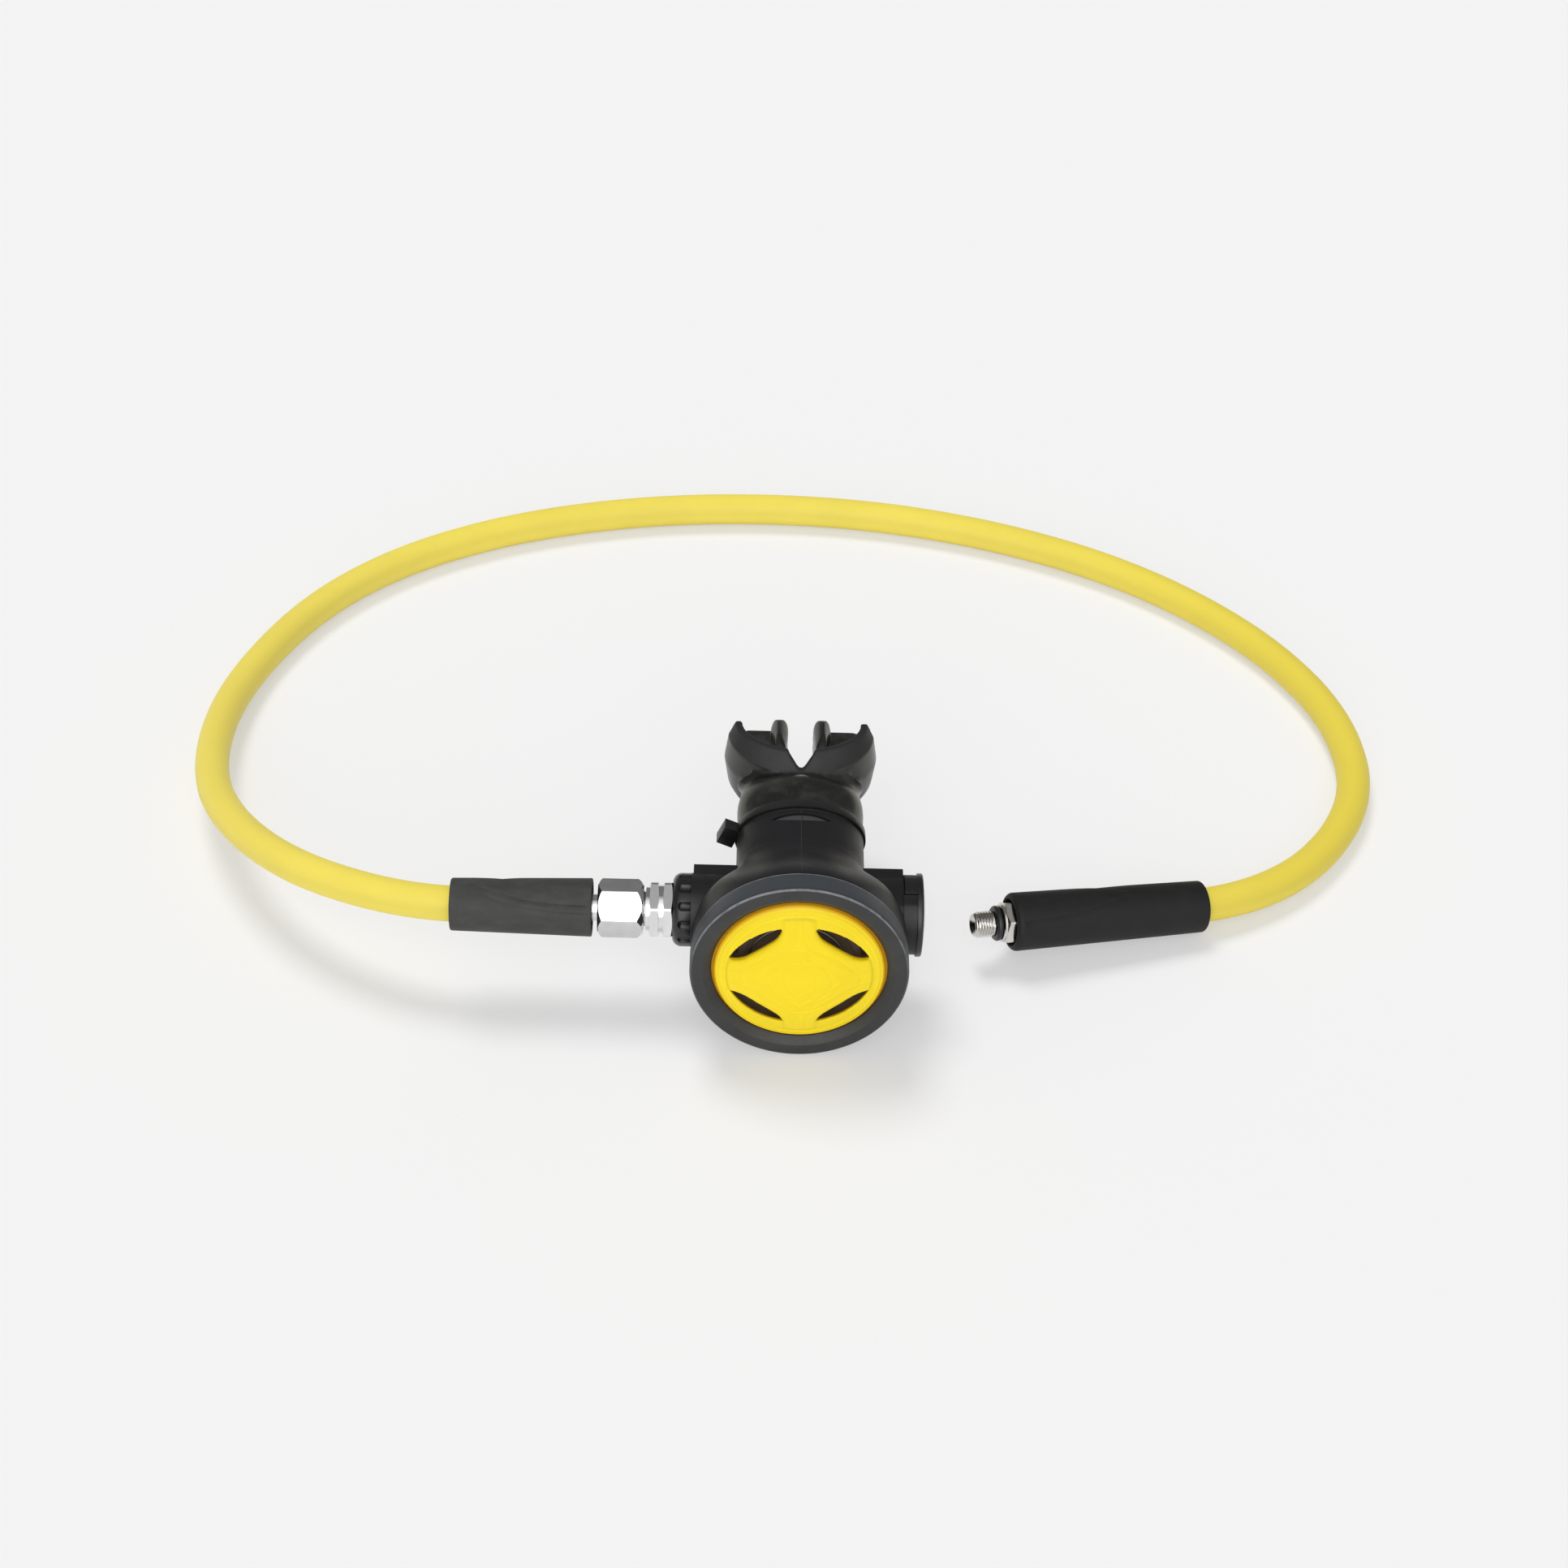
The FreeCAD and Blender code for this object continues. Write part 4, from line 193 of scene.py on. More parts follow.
# Threads as pitch, root radius and crest radius: under the nut, and at the free end
INLET_THREAD = (1.411, 6.28, 7.144)
PORT_THREAD = (1.058, 4.12, 4.7625)


def colour_setting(name, description, default):
    return FloatVectorProperty(
        name=name, description=description, default=default, size=3, subtype="COLOR")


def length_setting(name, description, default):
    return FloatProperty(name=name, description=description, default=default, unit="LENGTH")


def angle_setting(name, description, degrees):
    return FloatProperty(
        name=name, description=description, default=math.radians(degrees), subtype="ANGLE")


def strength_setting(name, description, default):
    return FloatProperty(name=name, description=description, default=default)


def count_setting(name, description, default, least):
    return IntProperty(name=name, description=description, default=default, min=least)


class HoseSettings(bpy.types.PropertyGroup):
    """Sizes of the hose and its sleeves"""

    diameter: length_setting("Hose diameter", "Over the yellow cover", 0.0128)
    length: length_setting("Hose length", "Along the middle, end to end", 1.037)
    sides: count_setting("Sides", "Steps round a quarter of the hose", 11, 3)
    steps: count_setting("Steps", "Steps along each stretch", 16, 4)
    colour: colour_setting("Hose yellow", "Cover of the hose", (0.93, 0.77, 0.11))
    sleeve_colour: colour_setting("Sleeve grey", "Rubber at both ends", (0.03, 0.03, 0.0295))
    sleeve_steps: count_setting("Sleeve steps", "Steps along a sleeve", 96, 24)


class CaseSettings(bpy.types.PropertyGroup):
    """Plastics and soft parts of the regulator's own body"""

    cover_colour: colour_setting("Cover yellow", "Purge cover", (0.985, 0.745, 0.008))
    # Painted orange shade round the cover's rim
    rim_shade_colour: colour_setting("Cover orange", "Edges of the purge cover", (0.84, 0.36, 0.008))
    ring_colour: colour_setting("Ring charcoal", "Front ring", (0.034, 0.035, 0.0365))
    case_colour: colour_setting("Case black", "Moulded case", (0.0085, 0.0088, 0.0098))
    silicone_colour: colour_setting("Mouthpiece black", "Its silicone", (0.009, 0.0092, 0.0078))
    edge_round: length_setting("Edge round", "Rounding of the moulded edges", 0.00025)
    soft_voxel: length_setting("Soft grain", "Step of the soft parts' meshes", 0.0005)
    cover_voxel: length_setting("Cover grain", "Step of the cover's mesh", 0.00031)
    shield_height: length_setting("Shield height", "How far the cover's arms stand out", 0.0008)


class MetalSettings(bpy.types.PropertyGroup):
    """Plating and steel of the fittings"""

    chrome_colour: colour_setting("Chrome", "Plate on the nut and hexagons", (0.82, 0.82, 0.83))
    steel_colour: colour_setting("Steel", "Free end's fitting", (0.68, 0.66, 0.63))
    lathe_steps: count_setting("Lathe steps", "Steps round a turned piece, in 180s", 180, 180)


class StageSettings(bpy.types.PropertyGroup):
    """Camera, floor and lamps"""

    lens: strength_setting("Lens", "Focal length on a 36 mm sensor", 77.0)
    pitch: angle_setting("Pitch", "How far the camera looks down", 38.1)
    azimuth: angle_setting("Azimuth", "How far it looks to the right of +Y", 1.0)
    roll: angle_setting("Roll", "Its turn about its own line of sight", 2.0)
    station: FloatVectorProperty(
        name="Station", description="Camera's place in millimetres from the ring's foot",
        default=(-22.7, -867.8, 801.5), size=3)
    floor_colour: colour_setting("Floor", "Pale floor and backdrop", (0.913, 0.913, 0.913))
    floor_glow: strength_setting("Floor glow", "Share that shows its colour in any light", 0.47)
    key_strength: strength_setting("Key lamp", "Soft lamp from above", 1.45)
    fill_strength: strength_setting("Fill lamp", "Soft lamp from the front", 1.2)
    sky_strength: strength_setting("Surround", "Even light from all round", 0.35)
    floor_shown: BoolProperty(name="Show floor", description="Adds the pale floor", default=True)


class Tone:
    """A shader value on which Python's own operators add Math nodes."""

    def __init__(self, board, socket):
        self.board = board
        self.socket = socket

    def _maths(self, operation, first, second=0.0):
        return self.board.node("ShaderNodeMath", {"operation": operation}, {0: first, 1: second})

    def __add__(self, other):
        return self._maths("ADD", self, other)

    __radd__ = __add__

    def __sub__(self, other):
        return self._maths("SUBTRACT", self, other)

    def __rsub__(self, other):
        return self._maths("SUBTRACT", other, self)

    def __mul__(self, other):
        return self._maths("MULTIPLY", self, other)

    __rmul__ = __mul__

    def __pow__(self, other):
        return self._maths("POWER", self, other)

    def size(self):
        return self._maths("ABSOLUTE", self)

    def most(self, other):
        return self._maths("MAXIMUM", self, other)

    def ramp(self, low, high, start=0.0, end=1.0):
        """Runs smoothly from start, at low, to end, at high."""
        return self.board.node(
            "ShaderNodeMapRange", {"interpolation_type": "SMOOTHSTEP", "clamp": True},
            {0: self, 1: low, 2: high, 3: start, 4: end})


class Board:
    """The nodes of one material, or of the world."""

    def __init__(self, owner, finish="ShaderNodeOutputMaterial"):
        self.owner = owner
        owner.use_nodes = True
        self.tree = owner.node_tree
        self.tree.nodes.clear()
        self.finish = self.tree.nodes.new(finish)
        self.spot = None

    def node(self, kind, settings=None, values=None, output=0):
        """Adds a node: its settings first, then its sockets' values or links."""
        made = self.tree.nodes.new(kind)
        for key, value in (settings or {}).items():
            setattr(made, key, value)
        for key, value in (values or {}).items():
            socket = made.inputs[key]
            if isinstance(value, Tone):
                self.tree.links.new(value.socket, socket)
            elif socket.type == "RGBA":
                socket.default_value = (*value[:3], 1.0)
            else:
                socket.default_value = value
        return Tone(self, made.outputs[output])

    def where(self):
        """The point on the piece, in metres."""
        if self.spot is None:
            self.spot = self.node("ShaderNodeTexCoord", output="Object")
        return self.spot

    def parts(self, vector):
        split = self.node("ShaderNodeSeparateXYZ", None, {0: vector})
        outputs = split.socket.node.outputs
        return [Tone(self, outputs[index]) for index in range(3)]

    def from_point(self, point, stretch=(1.0, 1.0, 1.0)):
        """The place on the piece from a point, stretched along each axis."""
        moved = self.node(
            "ShaderNodeVectorMath", {"operation": "SUBTRACT"}, {0: self.where(), 1: tuple(point)})
        return self.node("ShaderNodeVectorMath", {"operation": "MULTIPLY"}, {0: moved, 1: stretch})

    def millimetres(self, point):
        """Its three measures from a point, in millimetres."""
        return self.parts(self.from_point(point, (1 / MM, 1 / MM, 1 / MM)))

    def noise(self, scale, detail=3.0, rough=0.55, vector=None):
        """Smooth unevenness from 0 to 1; scale counts the lumps in a metre."""
        return self.node(
            "ShaderNodeTexNoise", None,
            {"Vector": vector or self.where(), "Scale": scale, "Detail": detail, "Roughness": rough})

    def specks(self, scale, vector=None):
        """Distance to scattered points, for grains and specks."""
        return self.node(
            "ShaderNodeTexVoronoi", {"feature": "F1"},
            {"Vector": vector or self.where(), "Scale": scale})

    def mix(self, factor, first, second):
        """One colour runs into another as the factor goes from 0 to 1."""
        return self.node(
            "ShaderNodeMix", {"data_type": "RGBA", "clamp_factor": True},
            {0: factor, 6: first, 7: second}, output=2)

    def blend(self, factor, first, second):
        """One shader runs into another as the factor goes from 0 to 1."""
        return self.node("ShaderNodeMixShader", None, {0: factor, 1: first, 2: second})

    def surface(self, base, rough, grain, depth, strength, **values):
        """Wires the surface, with bumps from a grain; a name's underscores stand for spaces."""
        bumps = self.node(
            "ShaderNodeBump", None, {"Strength": strength, "Distance": depth, "Height": grain})
        sockets = {"Base Color": base, "Roughness": rough, "Normal": bumps}
        sockets.update((key.replace("_", " "), value) for key, value in values.items())
        return self.show(self.node("ShaderNodeBsdfPrincipled", None, sockets))

    def show(self, shader):
        self.tree.links.new(shader.socket, self.finish.inputs["Surface"])
        return self.owner


def new_board(name):
    return Board(bpy.data.materials.new(name))


def shade(colour, share):
    return tuple(min(1.0, channel * share) for channel in colour)


def ring_marks(board, base):
    """Painted blue-grey sheen on the top, pale edge lines of wear and painted highlight, and a painted
    lit lower bevel.
    """
    across, along, up = board.millimetres(RING_CENTRE)
    reach = (across * across + up * up) ** 0.5
    # Pale edge lines, part wear and part painted highlight, broken up and stronger towards the top
    # where the light falls
    worn_and_lit = board.noise(300.0, 3.0).ramp(0.3, 0.6, 0.5, 1.0) * up.ramp(-10.0, 30.0, 0.25, 1.0)
    front_edge = (along + RING_RADIUS - reach).ramp(0.88, 0.72) * worn_and_lit
    rear_edge = (RING_DEPTH - along).ramp(0.4, 0.15) * reach.ramp(36.8, 37.3) * worn_and_lit
    # Painted highlight: the bottom of the inner bevel, which faces up into the light, is paler, with
    # fine painted glints
    bevel = reach.ramp(RING_BEVEL_RADIUS + 0.3, RING_BEVEL_RADIUS - 0.3) * up.ramp(-10.0, -28.0)
    # Painted sheen: a blue-grey reflection of the light on the ring's top
    bloom_and_sheen = along.ramp(0.5, 2.0) * up.ramp(0.0, 30.0) * reach.ramp(37.0, 37.6)
    base = board.mix(bloom_and_sheen, base, (0.046, 0.052, 0.06))
    base = board.mix(bevel * board.noise(2200.0, 2.0).ramp(0.2, 0.9), base, (0.06, 0.06, 0.054))
    base = board.mix(front_edge * 0.75, base, (0.3, 0.31, 0.32))
    return board.mix(rear_edge * 0.8, base, (0.3, 0.3, 0.31))


def case_marks(board, base):
    """Painted highlight on the top's parting line with a painted shadow beside it, and a painted
    highlight in the tube's groove.
    """
    across, along, _ = board.millimetres(RING_FOOT)
    _, _, facing_up = board.parts(board.node("ShaderNodeTexCoord", output="Normal"))
    top = facing_up.ramp(0.25, 0.5)
    # Painted highlight along the raised parting line and a painted shadow just beside it, on up-facing
    # surfaces only
    seam_glint = across.size().ramp(0.2, 0.08) * along.ramp(9.0, 12.0)
    shadow = (across - 0.3).size().ramp(0.25, 0.08)
    # Painted highlight: the lens-shaped groove on the tube's top is paler, as where its wall catches
    # the light
    lens = (across * (1 / GROOVE_HALF[0])) ** 2.0
    lens += ((along - GROOVE_DEPTH) * (1 / GROOVE_HALF[1])).size()
    base = board.mix(lens.ramp(1.0, 0.8) * top, base, (0.055, 0.055, 0.058))
    base = board.mix(shadow * top * 0.7, base, (0.001, 0.001, 0.001))
    return board.mix(seam_glint * top * 0.45, base, (0.07, 0.07, 0.07))


def grained_plastic(name, colour, roughness, grain=3400.0, dust=0.10, marks=None, shine=0.42):
    """Moulded nylon with a fine grain, handling shine and a little dust."""
    board = new_board(name)
    cloud = board.noise(55.0, 4.0)
    handled = board.noise(160.0, 3.0)
    grains = board.noise(grain, 2.0, 0.7)
    specks = board.specks(900.0).ramp(0.16, 0.05)
    sparse = board.noise(240.0, 2.0).ramp(0.56, 0.68)
    base = board.mix(cloud.ramp(0.35, 0.7), shade(colour, 0.86), shade(colour, 1.18))
    base = board.mix(specks * sparse * dust, base, (0.30, 0.29, 0.27))
    if marks is not None:
        base = marks(board, base)
    rough = roughness + (handled - 0.5) * 0.16 + (grains - 0.5) * 0.10
    return board.surface(base, rough, grains, 0.00006, 0.55, Specular_IOR_Level=shine)


def cover_yellow(name, colour, glow):
    """Satin yellow plastic with painted orange shade at its rim, painted shade down its slots, a
    painted highlight line and a faint painted glow.
    """
    board = new_board(name)
    across, along, up = board.millimetres(RING_CENTRE)
    square = across * across + up * up
    reach = square ** 0.5
    depth = along - DOME_FRONT - square * (0.5 / DOME_RADIUS)
    inside = reach.ramp(COVER_RIM + 0.4, COVER_RIM)
    # Painted shade: the slot walls turn brown, then near black, with depth under the dome
    wall = depth.ramp(0.5, 1.5) * inside
    deep_shade = depth.ramp(0.9, 2.4) * inside
    # Painted shade: orange where the rim rounds over into the ring
    rim = reach.ramp(28.3, 29.6)
    # Painted highlight: a paler line just inside the rim
    line = (reach - COVER_RIM + 0.3).size().ramp(0.4, 0.1)
    cloud = board.noise(48.0, 3.0)
    grains = board.noise(2600.0, 2.0, 0.6)
    base = board.mix(cloud.ramp(0.3, 0.75), shade(colour, 0.97), shade(colour, 1.03))
    base = board.mix(line * 0.35, base, shade(colour, 1.3))
    base = board.mix(rim * 0.75, base, glow)
    base = board.mix(wall, base, (0.42, 0.2, 0.02))
    base = board.mix(deep_shade, base, (0.075, 0.045, 0.025))
    rough = 0.38 + (board.noise(220.0, 3.0) - 0.5) * 0.14
    # Painted light: the cover glows faintly in its own colour, though it is no lamp
    return board.surface(
        base, rough, grains, 0.00003, 0.3, Specular_IOR_Level=0.35, Emission_Color=base,
        Emission_Strength=0.07)


def hose_yellow(name, colour):
    """Matt yellow rubber, mottled and scuffed, darker and deeper towards the right and a little darker
    at the far left.
    """
    board = new_board(name)
    cloud = board.noise(34.0, 4.0, 0.6)
    scuffs = board.noise(120.0, 5.0, 0.65, board.from_point((0.0, 0.0, 0.0), (0.35, 1.0, 2.6)))
    grains = board.noise(2400.0, 2.0, 0.6)
    dirt = board.specks(210.0).ramp(0.12, 0.03) * board.noise(60.0, 2.0).ramp(0.55, 0.7)
    across, _, _ = board.parts(board.where())
    base = board.mix(cloud.ramp(0.3, 0.72), shade(colour, 0.97), shade(colour, 1.02))
    # Darker, deeper yellow towards the right, and a little darker at the far left
    base = board.mix(across.ramp(0.05, 0.24) * 0.7, base, (0.8, 0.64, 0.06))
    base = board.mix(across.ramp(-0.1, -0.22) * 0.5, base, (0.86, 0.71, 0.13))
    base = board.mix(scuffs.ramp(0.62, 0.8) * 0.1, base, shade(colour, 0.72))
    base = board.mix(dirt * 0.22, base, (0.36, 0.29, 0.08))
    rough = 0.5 + (cloud - 0.5) * 0.16
    return board.surface(
        base, rough, grains + scuffs * 0.6, 0.00004, 0.45, Specular_IOR_Level=0.4)


def dusty_rubber(name, colour, dust=0.5, roughness=0.6, shine=0.4):
    """Dark rubber with a bloom of pale dust that gathers in fine streaks."""
    board = new_board(name)
    cloud = board.noise(60.0, 4.0, 0.6)
    streaks = board.noise(300.0, 3.0, 0.55, board.from_point((0.0, 0.0, 0.0), (0.5, 1.0, 1.0)))
    fine = board.noise(1500.0, 3.0, 0.6)
    grains = board.noise(3000.0, 2.0, 0.6)
    # Here the mask is a bloom of pale dust only
    bloom_and_sheen = (0.3 + streaks.ramp(0.3, 0.8) * 0.35) * (0.6 + cloud * 0.4) * (0.7 + fine * 0.6)
    specks = board.specks(1300.0).ramp(0.14, 0.05) * board.noise(180.0, 2.0).ramp(0.5, 0.7)
    base = board.mix(bloom_and_sheen * dust, colour, (0.15, 0.15, 0.145))
    base = board.mix(specks * dust * 0.8, base, (0.4, 0.39, 0.36))
    return board.surface(
        base, roughness + bloom_and_sheen * 0.15, grains + streaks * 0.2, 0.00005, 0.4,
        Specular_IOR_Level=shine)


def mouth_silicone(name, colour):
    """Glossy silicone with dust in its folds, matt above and below its creases."""
    board = new_board(name)
    middle = place(0.0, SHIELD_FRONT - 0.6, MOUTH_HEIGHT)
    _, along, up = board.millimetres(middle)
    matt = along.ramp(-0.3, 0.3) * up.size().ramp(MOUTH_CREASE - 0.1, MOUTH_CREASE + 0.2)
    cloud = board.noise(85.0, 4.0, 0.6)
    fine = board.noise(1100.0, 3.0, 0.65)
    grains = board.noise(2800.0, 2.0, 0.6)
    specks = board.specks(1000.0).ramp(0.15, 0.05) * board.noise(140.0, 2.0).ramp(0.5, 0.68)
    dusted = cloud.ramp(0.42, 0.78) * (0.5 + fine)
    base = board.mix(dusted * 0.32, colour, (0.12, 0.12, 0.1))
    base = board.mix(specks * 0.3, base, (0.32, 0.31, 0.27))
    base = board.mix(matt, base, (0.016, 0.0163, 0.0175))
    rough = 0.27 + dusted * 0.18 + matt * 0.3
    return board.surface(
        base, rough, grains * 0.6 + cloud * 0.8, 0.00006, 0.4, Specular_IOR_Level=0.5)


def plated(name, colour, roughness):
    """Bright plate with faint smears and handling marks."""
    board = new_board(name)
    smear = board.noise(130.0, 4.0, 0.6)
    fine = board.noise(1500.0, 3.0, 0.6)
    base = board.mix(smear.ramp(0.35, 0.75), shade(colour, 0.93), shade(colour, 1.04))
    rough = roughness + (smear - 0.5) * 0.08 + (fine - 0.5) * 0.05
    return board.surface(base, rough, fine, 0.000005, 0.5, Metallic=1.0)


def plain_rubber(name, colour, roughness=0.45):
    """Smooth moulded rubber, as on a seal ring or a diaphragm."""
    board = new_board(name)
    cloud = board.noise(140.0, 3.0)
    grains = board.noise(2500.0, 2.0)
    base = board.mix(cloud.ramp(0.3, 0.75), shade(colour, 0.85), shade(colour, 1.15))
    return board.surface(base, roughness + (cloud - 0.5) * 0.15, grains, 0.00003, 0.4)


def deselect():
    """Leaves object mode on and nothing selected."""
    if bpy.context.object is not None and bpy.context.object.mode != "OBJECT":
        bpy.ops.object.mode_set(mode="OBJECT")
    bpy.ops.object.select_all(action="DESELECT")


def pick(piece):
    deselect()
    piece.select_set(True)
    bpy.context.view_layer.objects.active = piece


def shape_by(piece, kind, **settings):
    """Adds a modifier and applies it."""
    pick(piece)
    made = piece.modifiers.new(kind.title(), kind)
    for key, value in settings.items():
        setattr(made, key, value)
    bpy.ops.object.modifier_apply(modifier=made.name)


def smooth(piece, angle=35.0):
    pick(piece)
    bpy.ops.object.shade_smooth_by_angle(angle=math.radians(angle))


def eased(value):
    """Smooth step from 0, below 0, to 1, above 1."""
    value = max(0.0, min(1.0, value))
    return value * value * (3.0 - 2.0 * value)


def settle(piece, slot, material, *nodes, body="case"):
    """Gives a piece its material, the nodes that it stands for and its body; the slot is not used."""
    piece.data.materials.clear()
    piece.data.materials.append(material)
    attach(piece, body)
    if nodes:
        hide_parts(*nodes)


def edit_whole(piece):
    """Opens a mesh for editing, with all of it selected and its doubled points joined."""
    pick(piece)
    bpy.ops.object.mode_set(mode="EDIT")
    bpy.ops.mesh.select_all(action="SELECT")
    bpy.ops.mesh.remove_doubles(threshold=1e-6)


def merged_copy(node, name, flat_angle=0.4):
    """A copy of a node's mesh with its loose triangles joined and its flats made whole."""
    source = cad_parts[node]
    piece = bpy.data.objects.new(name, source.data.copy())
    bpy.context.scene.collection.objects.link(piece)
    edit_whole(piece)
    if flat_angle > 0:
        bpy.ops.mesh.dissolve_limited(angle_limit=math.radians(flat_angle))
    bpy.ops.object.mode_set(mode="OBJECT")
    if piece.data.has_custom_normals:
        bpy.ops.mesh.customdata_custom_splitnormals_clear()
    return piece


def round_edges(piece, width, segments=2, edge_angle=32.0):
    shape_by(
        piece, "BEVEL", width=width, segments=segments, limit_method="ANGLE",
        angle_limit=math.radians(edge_angle), use_clamp_overlap=True, harden_normals=False)
    smooth(piece, 35.0)


def moulded_copy(node, name, edge_round):
    """A rigid piece on its node's shape, with its edges rounded."""
    piece = merged_copy(node, name)
    round_edges(piece, edge_round)
    return piece


def soft_copy(node, name, voxel, rounds=4, factor=0.5):
    """A soft piece on its node's shape, remeshed and relaxed to round its edges."""
    piece = merged_copy(node, name, 0.0)
    shape_by(piece, "REMESH", mode="VOXEL", voxel_size=voxel, use_smooth_shade=True)
    shape_by(piece, "SMOOTH", factor=factor, iterations=rounds)
    smooth(piece, 60.0)
    return piece


def grid(name, rows, columns, point):
    """A sheet whose points are given by a function of their row and column."""
    deselect()
    bpy.ops.mesh.primitive_grid_add(x_subdivisions=columns, y_subdivisions=rows, size=MM)
    sheet = bpy.context.object
    sheet.name = name
    for index, vertex in enumerate(sheet.data.vertices):
        vertex.co = point(*divmod(index, columns + 1))
    return sheet


def lathe(name, rings, centre, along=(1.0, 0.0, 0.0), steps=180, crease=30.0):
    """A closed skin through rings of (distance, radius) in millimetres about an axis.

    A ring may be a function of the angle, which starts at the top and turns to the front.
    """
    axis = Vector(along).normalized()
    turn = Vector((1.0, 0.0, 0.0)).rotation_difference(axis)
    top = turn @ Vector((0.0, 0.0, 1.0))
    front = turn @ Vector((0.0, -1.0, 0.0))

    def point(row, column):
        angle = 2 * math.pi * column / steps
        ring = rings[row % len(rings)]
        distance, radius = ring(angle) if callable(ring) else ring
        out = top * math.cos(angle) + front * math.sin(angle)
        return centre + (axis * distance + out * radius) * MM

    piece = grid(name, len(rings), steps, point)
    close(piece)
    smooth(piece, crease)
    return piece


def close(piece):
    """Joins a mesh's doubled points and turns its faces outwards."""
    edit_whole(piece)
    bpy.ops.mesh.normals_make_consistent(inside=False)
    bpy.ops.object.mode_set(mode="OBJECT")


def elevation(angle):
    """Degrees above the level, on either side, of an angle that starts at the top."""
    return 90.0 - math.degrees(min(angle, 2 * math.pi - angle))


def hexagon(width, turn, face, inward, chamfer, slope):
    """Ring where a hexagon's chamfer meets its flats; turn leans a flat up from the front."""
    corner = width / math.sqrt(3) * 0.988

    def ring(angle):
        off = (90.0 - math.degrees(angle) - turn + 30.0) % 60.0 - 30.0
        radius = min(width / 2 / math.cos(math.radians(off)), corner)
        return face + inward * (radius - width / 2 + chamfer) * slope, radius

    return ring


def hexagon_rings(width, turn, left, right, near, far):
    """A hexagon from one end to the other, each with its chamfer and slope."""
    return [
        (left, width / 2 - near[0]),
        hexagon(width, turn, left, 1, *near),
        hexagon(width, turn, right, -1, *far),
        (right, width / 2 - far[0]),
    ]


def thread_rings(start, end, pitch, root, crest, steps=8):
    """Rings of a thread whose helix fades in and out over its first and last turn."""
    count = int((end - start) / pitch * steps)

    def ring(distance):
        fade = min(1.0, (distance - start) / pitch, (end - distance) / pitch)

        def at(angle):
            wave = 0.5 - 0.5 * math.cos(2 * math.pi * (distance - start) / pitch - angle)
            return distance, root + (crest - root) * max(0.0, fade) * wave ** 0.8

        return at

    return [ring(start + (end - start) * index / count) for index in range(count + 1)]


def corner_rings(start, end, steps=5):
    """A quarter of an ellipse between two rings, bulging towards the larger radius."""
    made = []
    for index in range(steps + 1):
        turn = math.pi / 2 * index / steps
        if end[1] > start[1]:
            share = (1 - math.cos(turn), math.sin(turn))
        else:
            share = (math.sin(turn), 1 - math.cos(turn))
        made.append((
            start[0] + (end[0] - start[0]) * share[0],
            start[1] + (end[1] - start[1]) * share[1],
        ))
    return made


class REGULATOR_OT_hose(bpy.types.Operator):
    """Lay the yellow hose along its route"""

    bl_idname = "regulator.hose"
    bl_label = "Hose"

    def execute(self, context):
        sizes = context.scene.regulator_hose
        line = bpy.data.curves.new("hose_line", "CURVE")
        line.dimensions = "3D"
        spline = line.splines.new("NURBS")
        spline.points.add(len(HOSE_ROUTE) - 1)
        for point, corner in zip(spline.points, HOSE_ROUTE):
            point.co = (*place(*corner), 1.0)
        spline.order_u = 3
        spline.use_endpoint_u = True
        line.resolution_u = sizes.steps
        line.bevel_depth = sizes.diameter / 2
        line.bevel_resolution = sizes.sides
        line.use_fill_caps = True
        hose = bpy.data.objects.new("yellow_hose", line)
        context.scene.collection.objects.link(hose)
        settle(hose, "hose_cover", hose_yellow("hose_yellow", sizes.colour), "hose")
        return {"FINISHED"}


def swept_step(share, above, line, width, depth, fade):
    """Depth of one swept facet: a sharp step under its line that eases out over its width."""
    under = line - above
    if under <= 0 or share >= fade:
        return 0.0
    step = min(1.0, under / 2.6)
    ease = max(0.0, 1.0 - under / width)
    return depth * step * ease * min(1.0, (fade - share) / 0.25)


def inlet_facets(share, above):
    """Depth of the inlet sleeve's facets at a share of its length from the nut."""
    return (
        swept_step(share, above, 44.0 + 44.0 * (share / 0.8) ** 3, 28.0, 0.85, 0.9)
        + swept_step(share, above, 28.0 + 45.0 * (share / 0.78) ** 3, 50.0, 0.4, 0.85)
        + swept_step(share, above, -7.5 + 20.0 * share, 36.0, 0.45, 0.62))


def free_facets(share, above):
    """Depth of the free sleeve's one facet at a share of its length from the fitting."""
    return swept_step(share, above, 41.5 + 54.0 * (share / 0.62) ** 2.4, 60.0, 0.6, 0.68)


def sleeve_rings(sizes, start, direction, length, radii, rounds, recess, facets):
    """Rings of a sleeve from its recess, round its outside, to its bore."""
    def at(distance):
        return start + direction * distance

    def body(share):
        near, far = radii
        plain = near + (far - near) * share
        distance = rounds[0] + (length - rounds[0] - rounds[1]) * share
        held = min(1.0, share / 0.04, (1.0 - share) / 0.04)

        def ring(angle):
            return at(distance), plain - facets(share, elevation(angle)) * held

        return ring

    mouth = FERRULE_RADIUS + 0.3
    shoulder = (0.0, radii[0] - rounds[0])
    rings = [(at(recess), FERRULE_RADIUS), (at(0.7), mouth)]
    rings += [(at(d), r) for d, r in corner_rings((0.7, mouth), (0.0, mouth + 0.5))[1:]]
    rings += [(at(d), r) for d, r in corner_rings(shoulder, (rounds[0], radii[0]))[:-1]]
    rings += [body(index / sizes.sleeve_steps) for index in range(sizes.sleeve_steps + 1)]
    end = (length, radii[1] - rounds[1])
    rings += [(at(d), r) for d, r in corner_rings((length - rounds[1], radii[1]), end)[1:]]
    rings += [(at(length), HOSE_RADIUS + 0.7), (at(length - 3.0), HOSE_RADIUS + 0.1)]
    return rings + [(at(recess), HOSE_RADIUS + 0.1)]


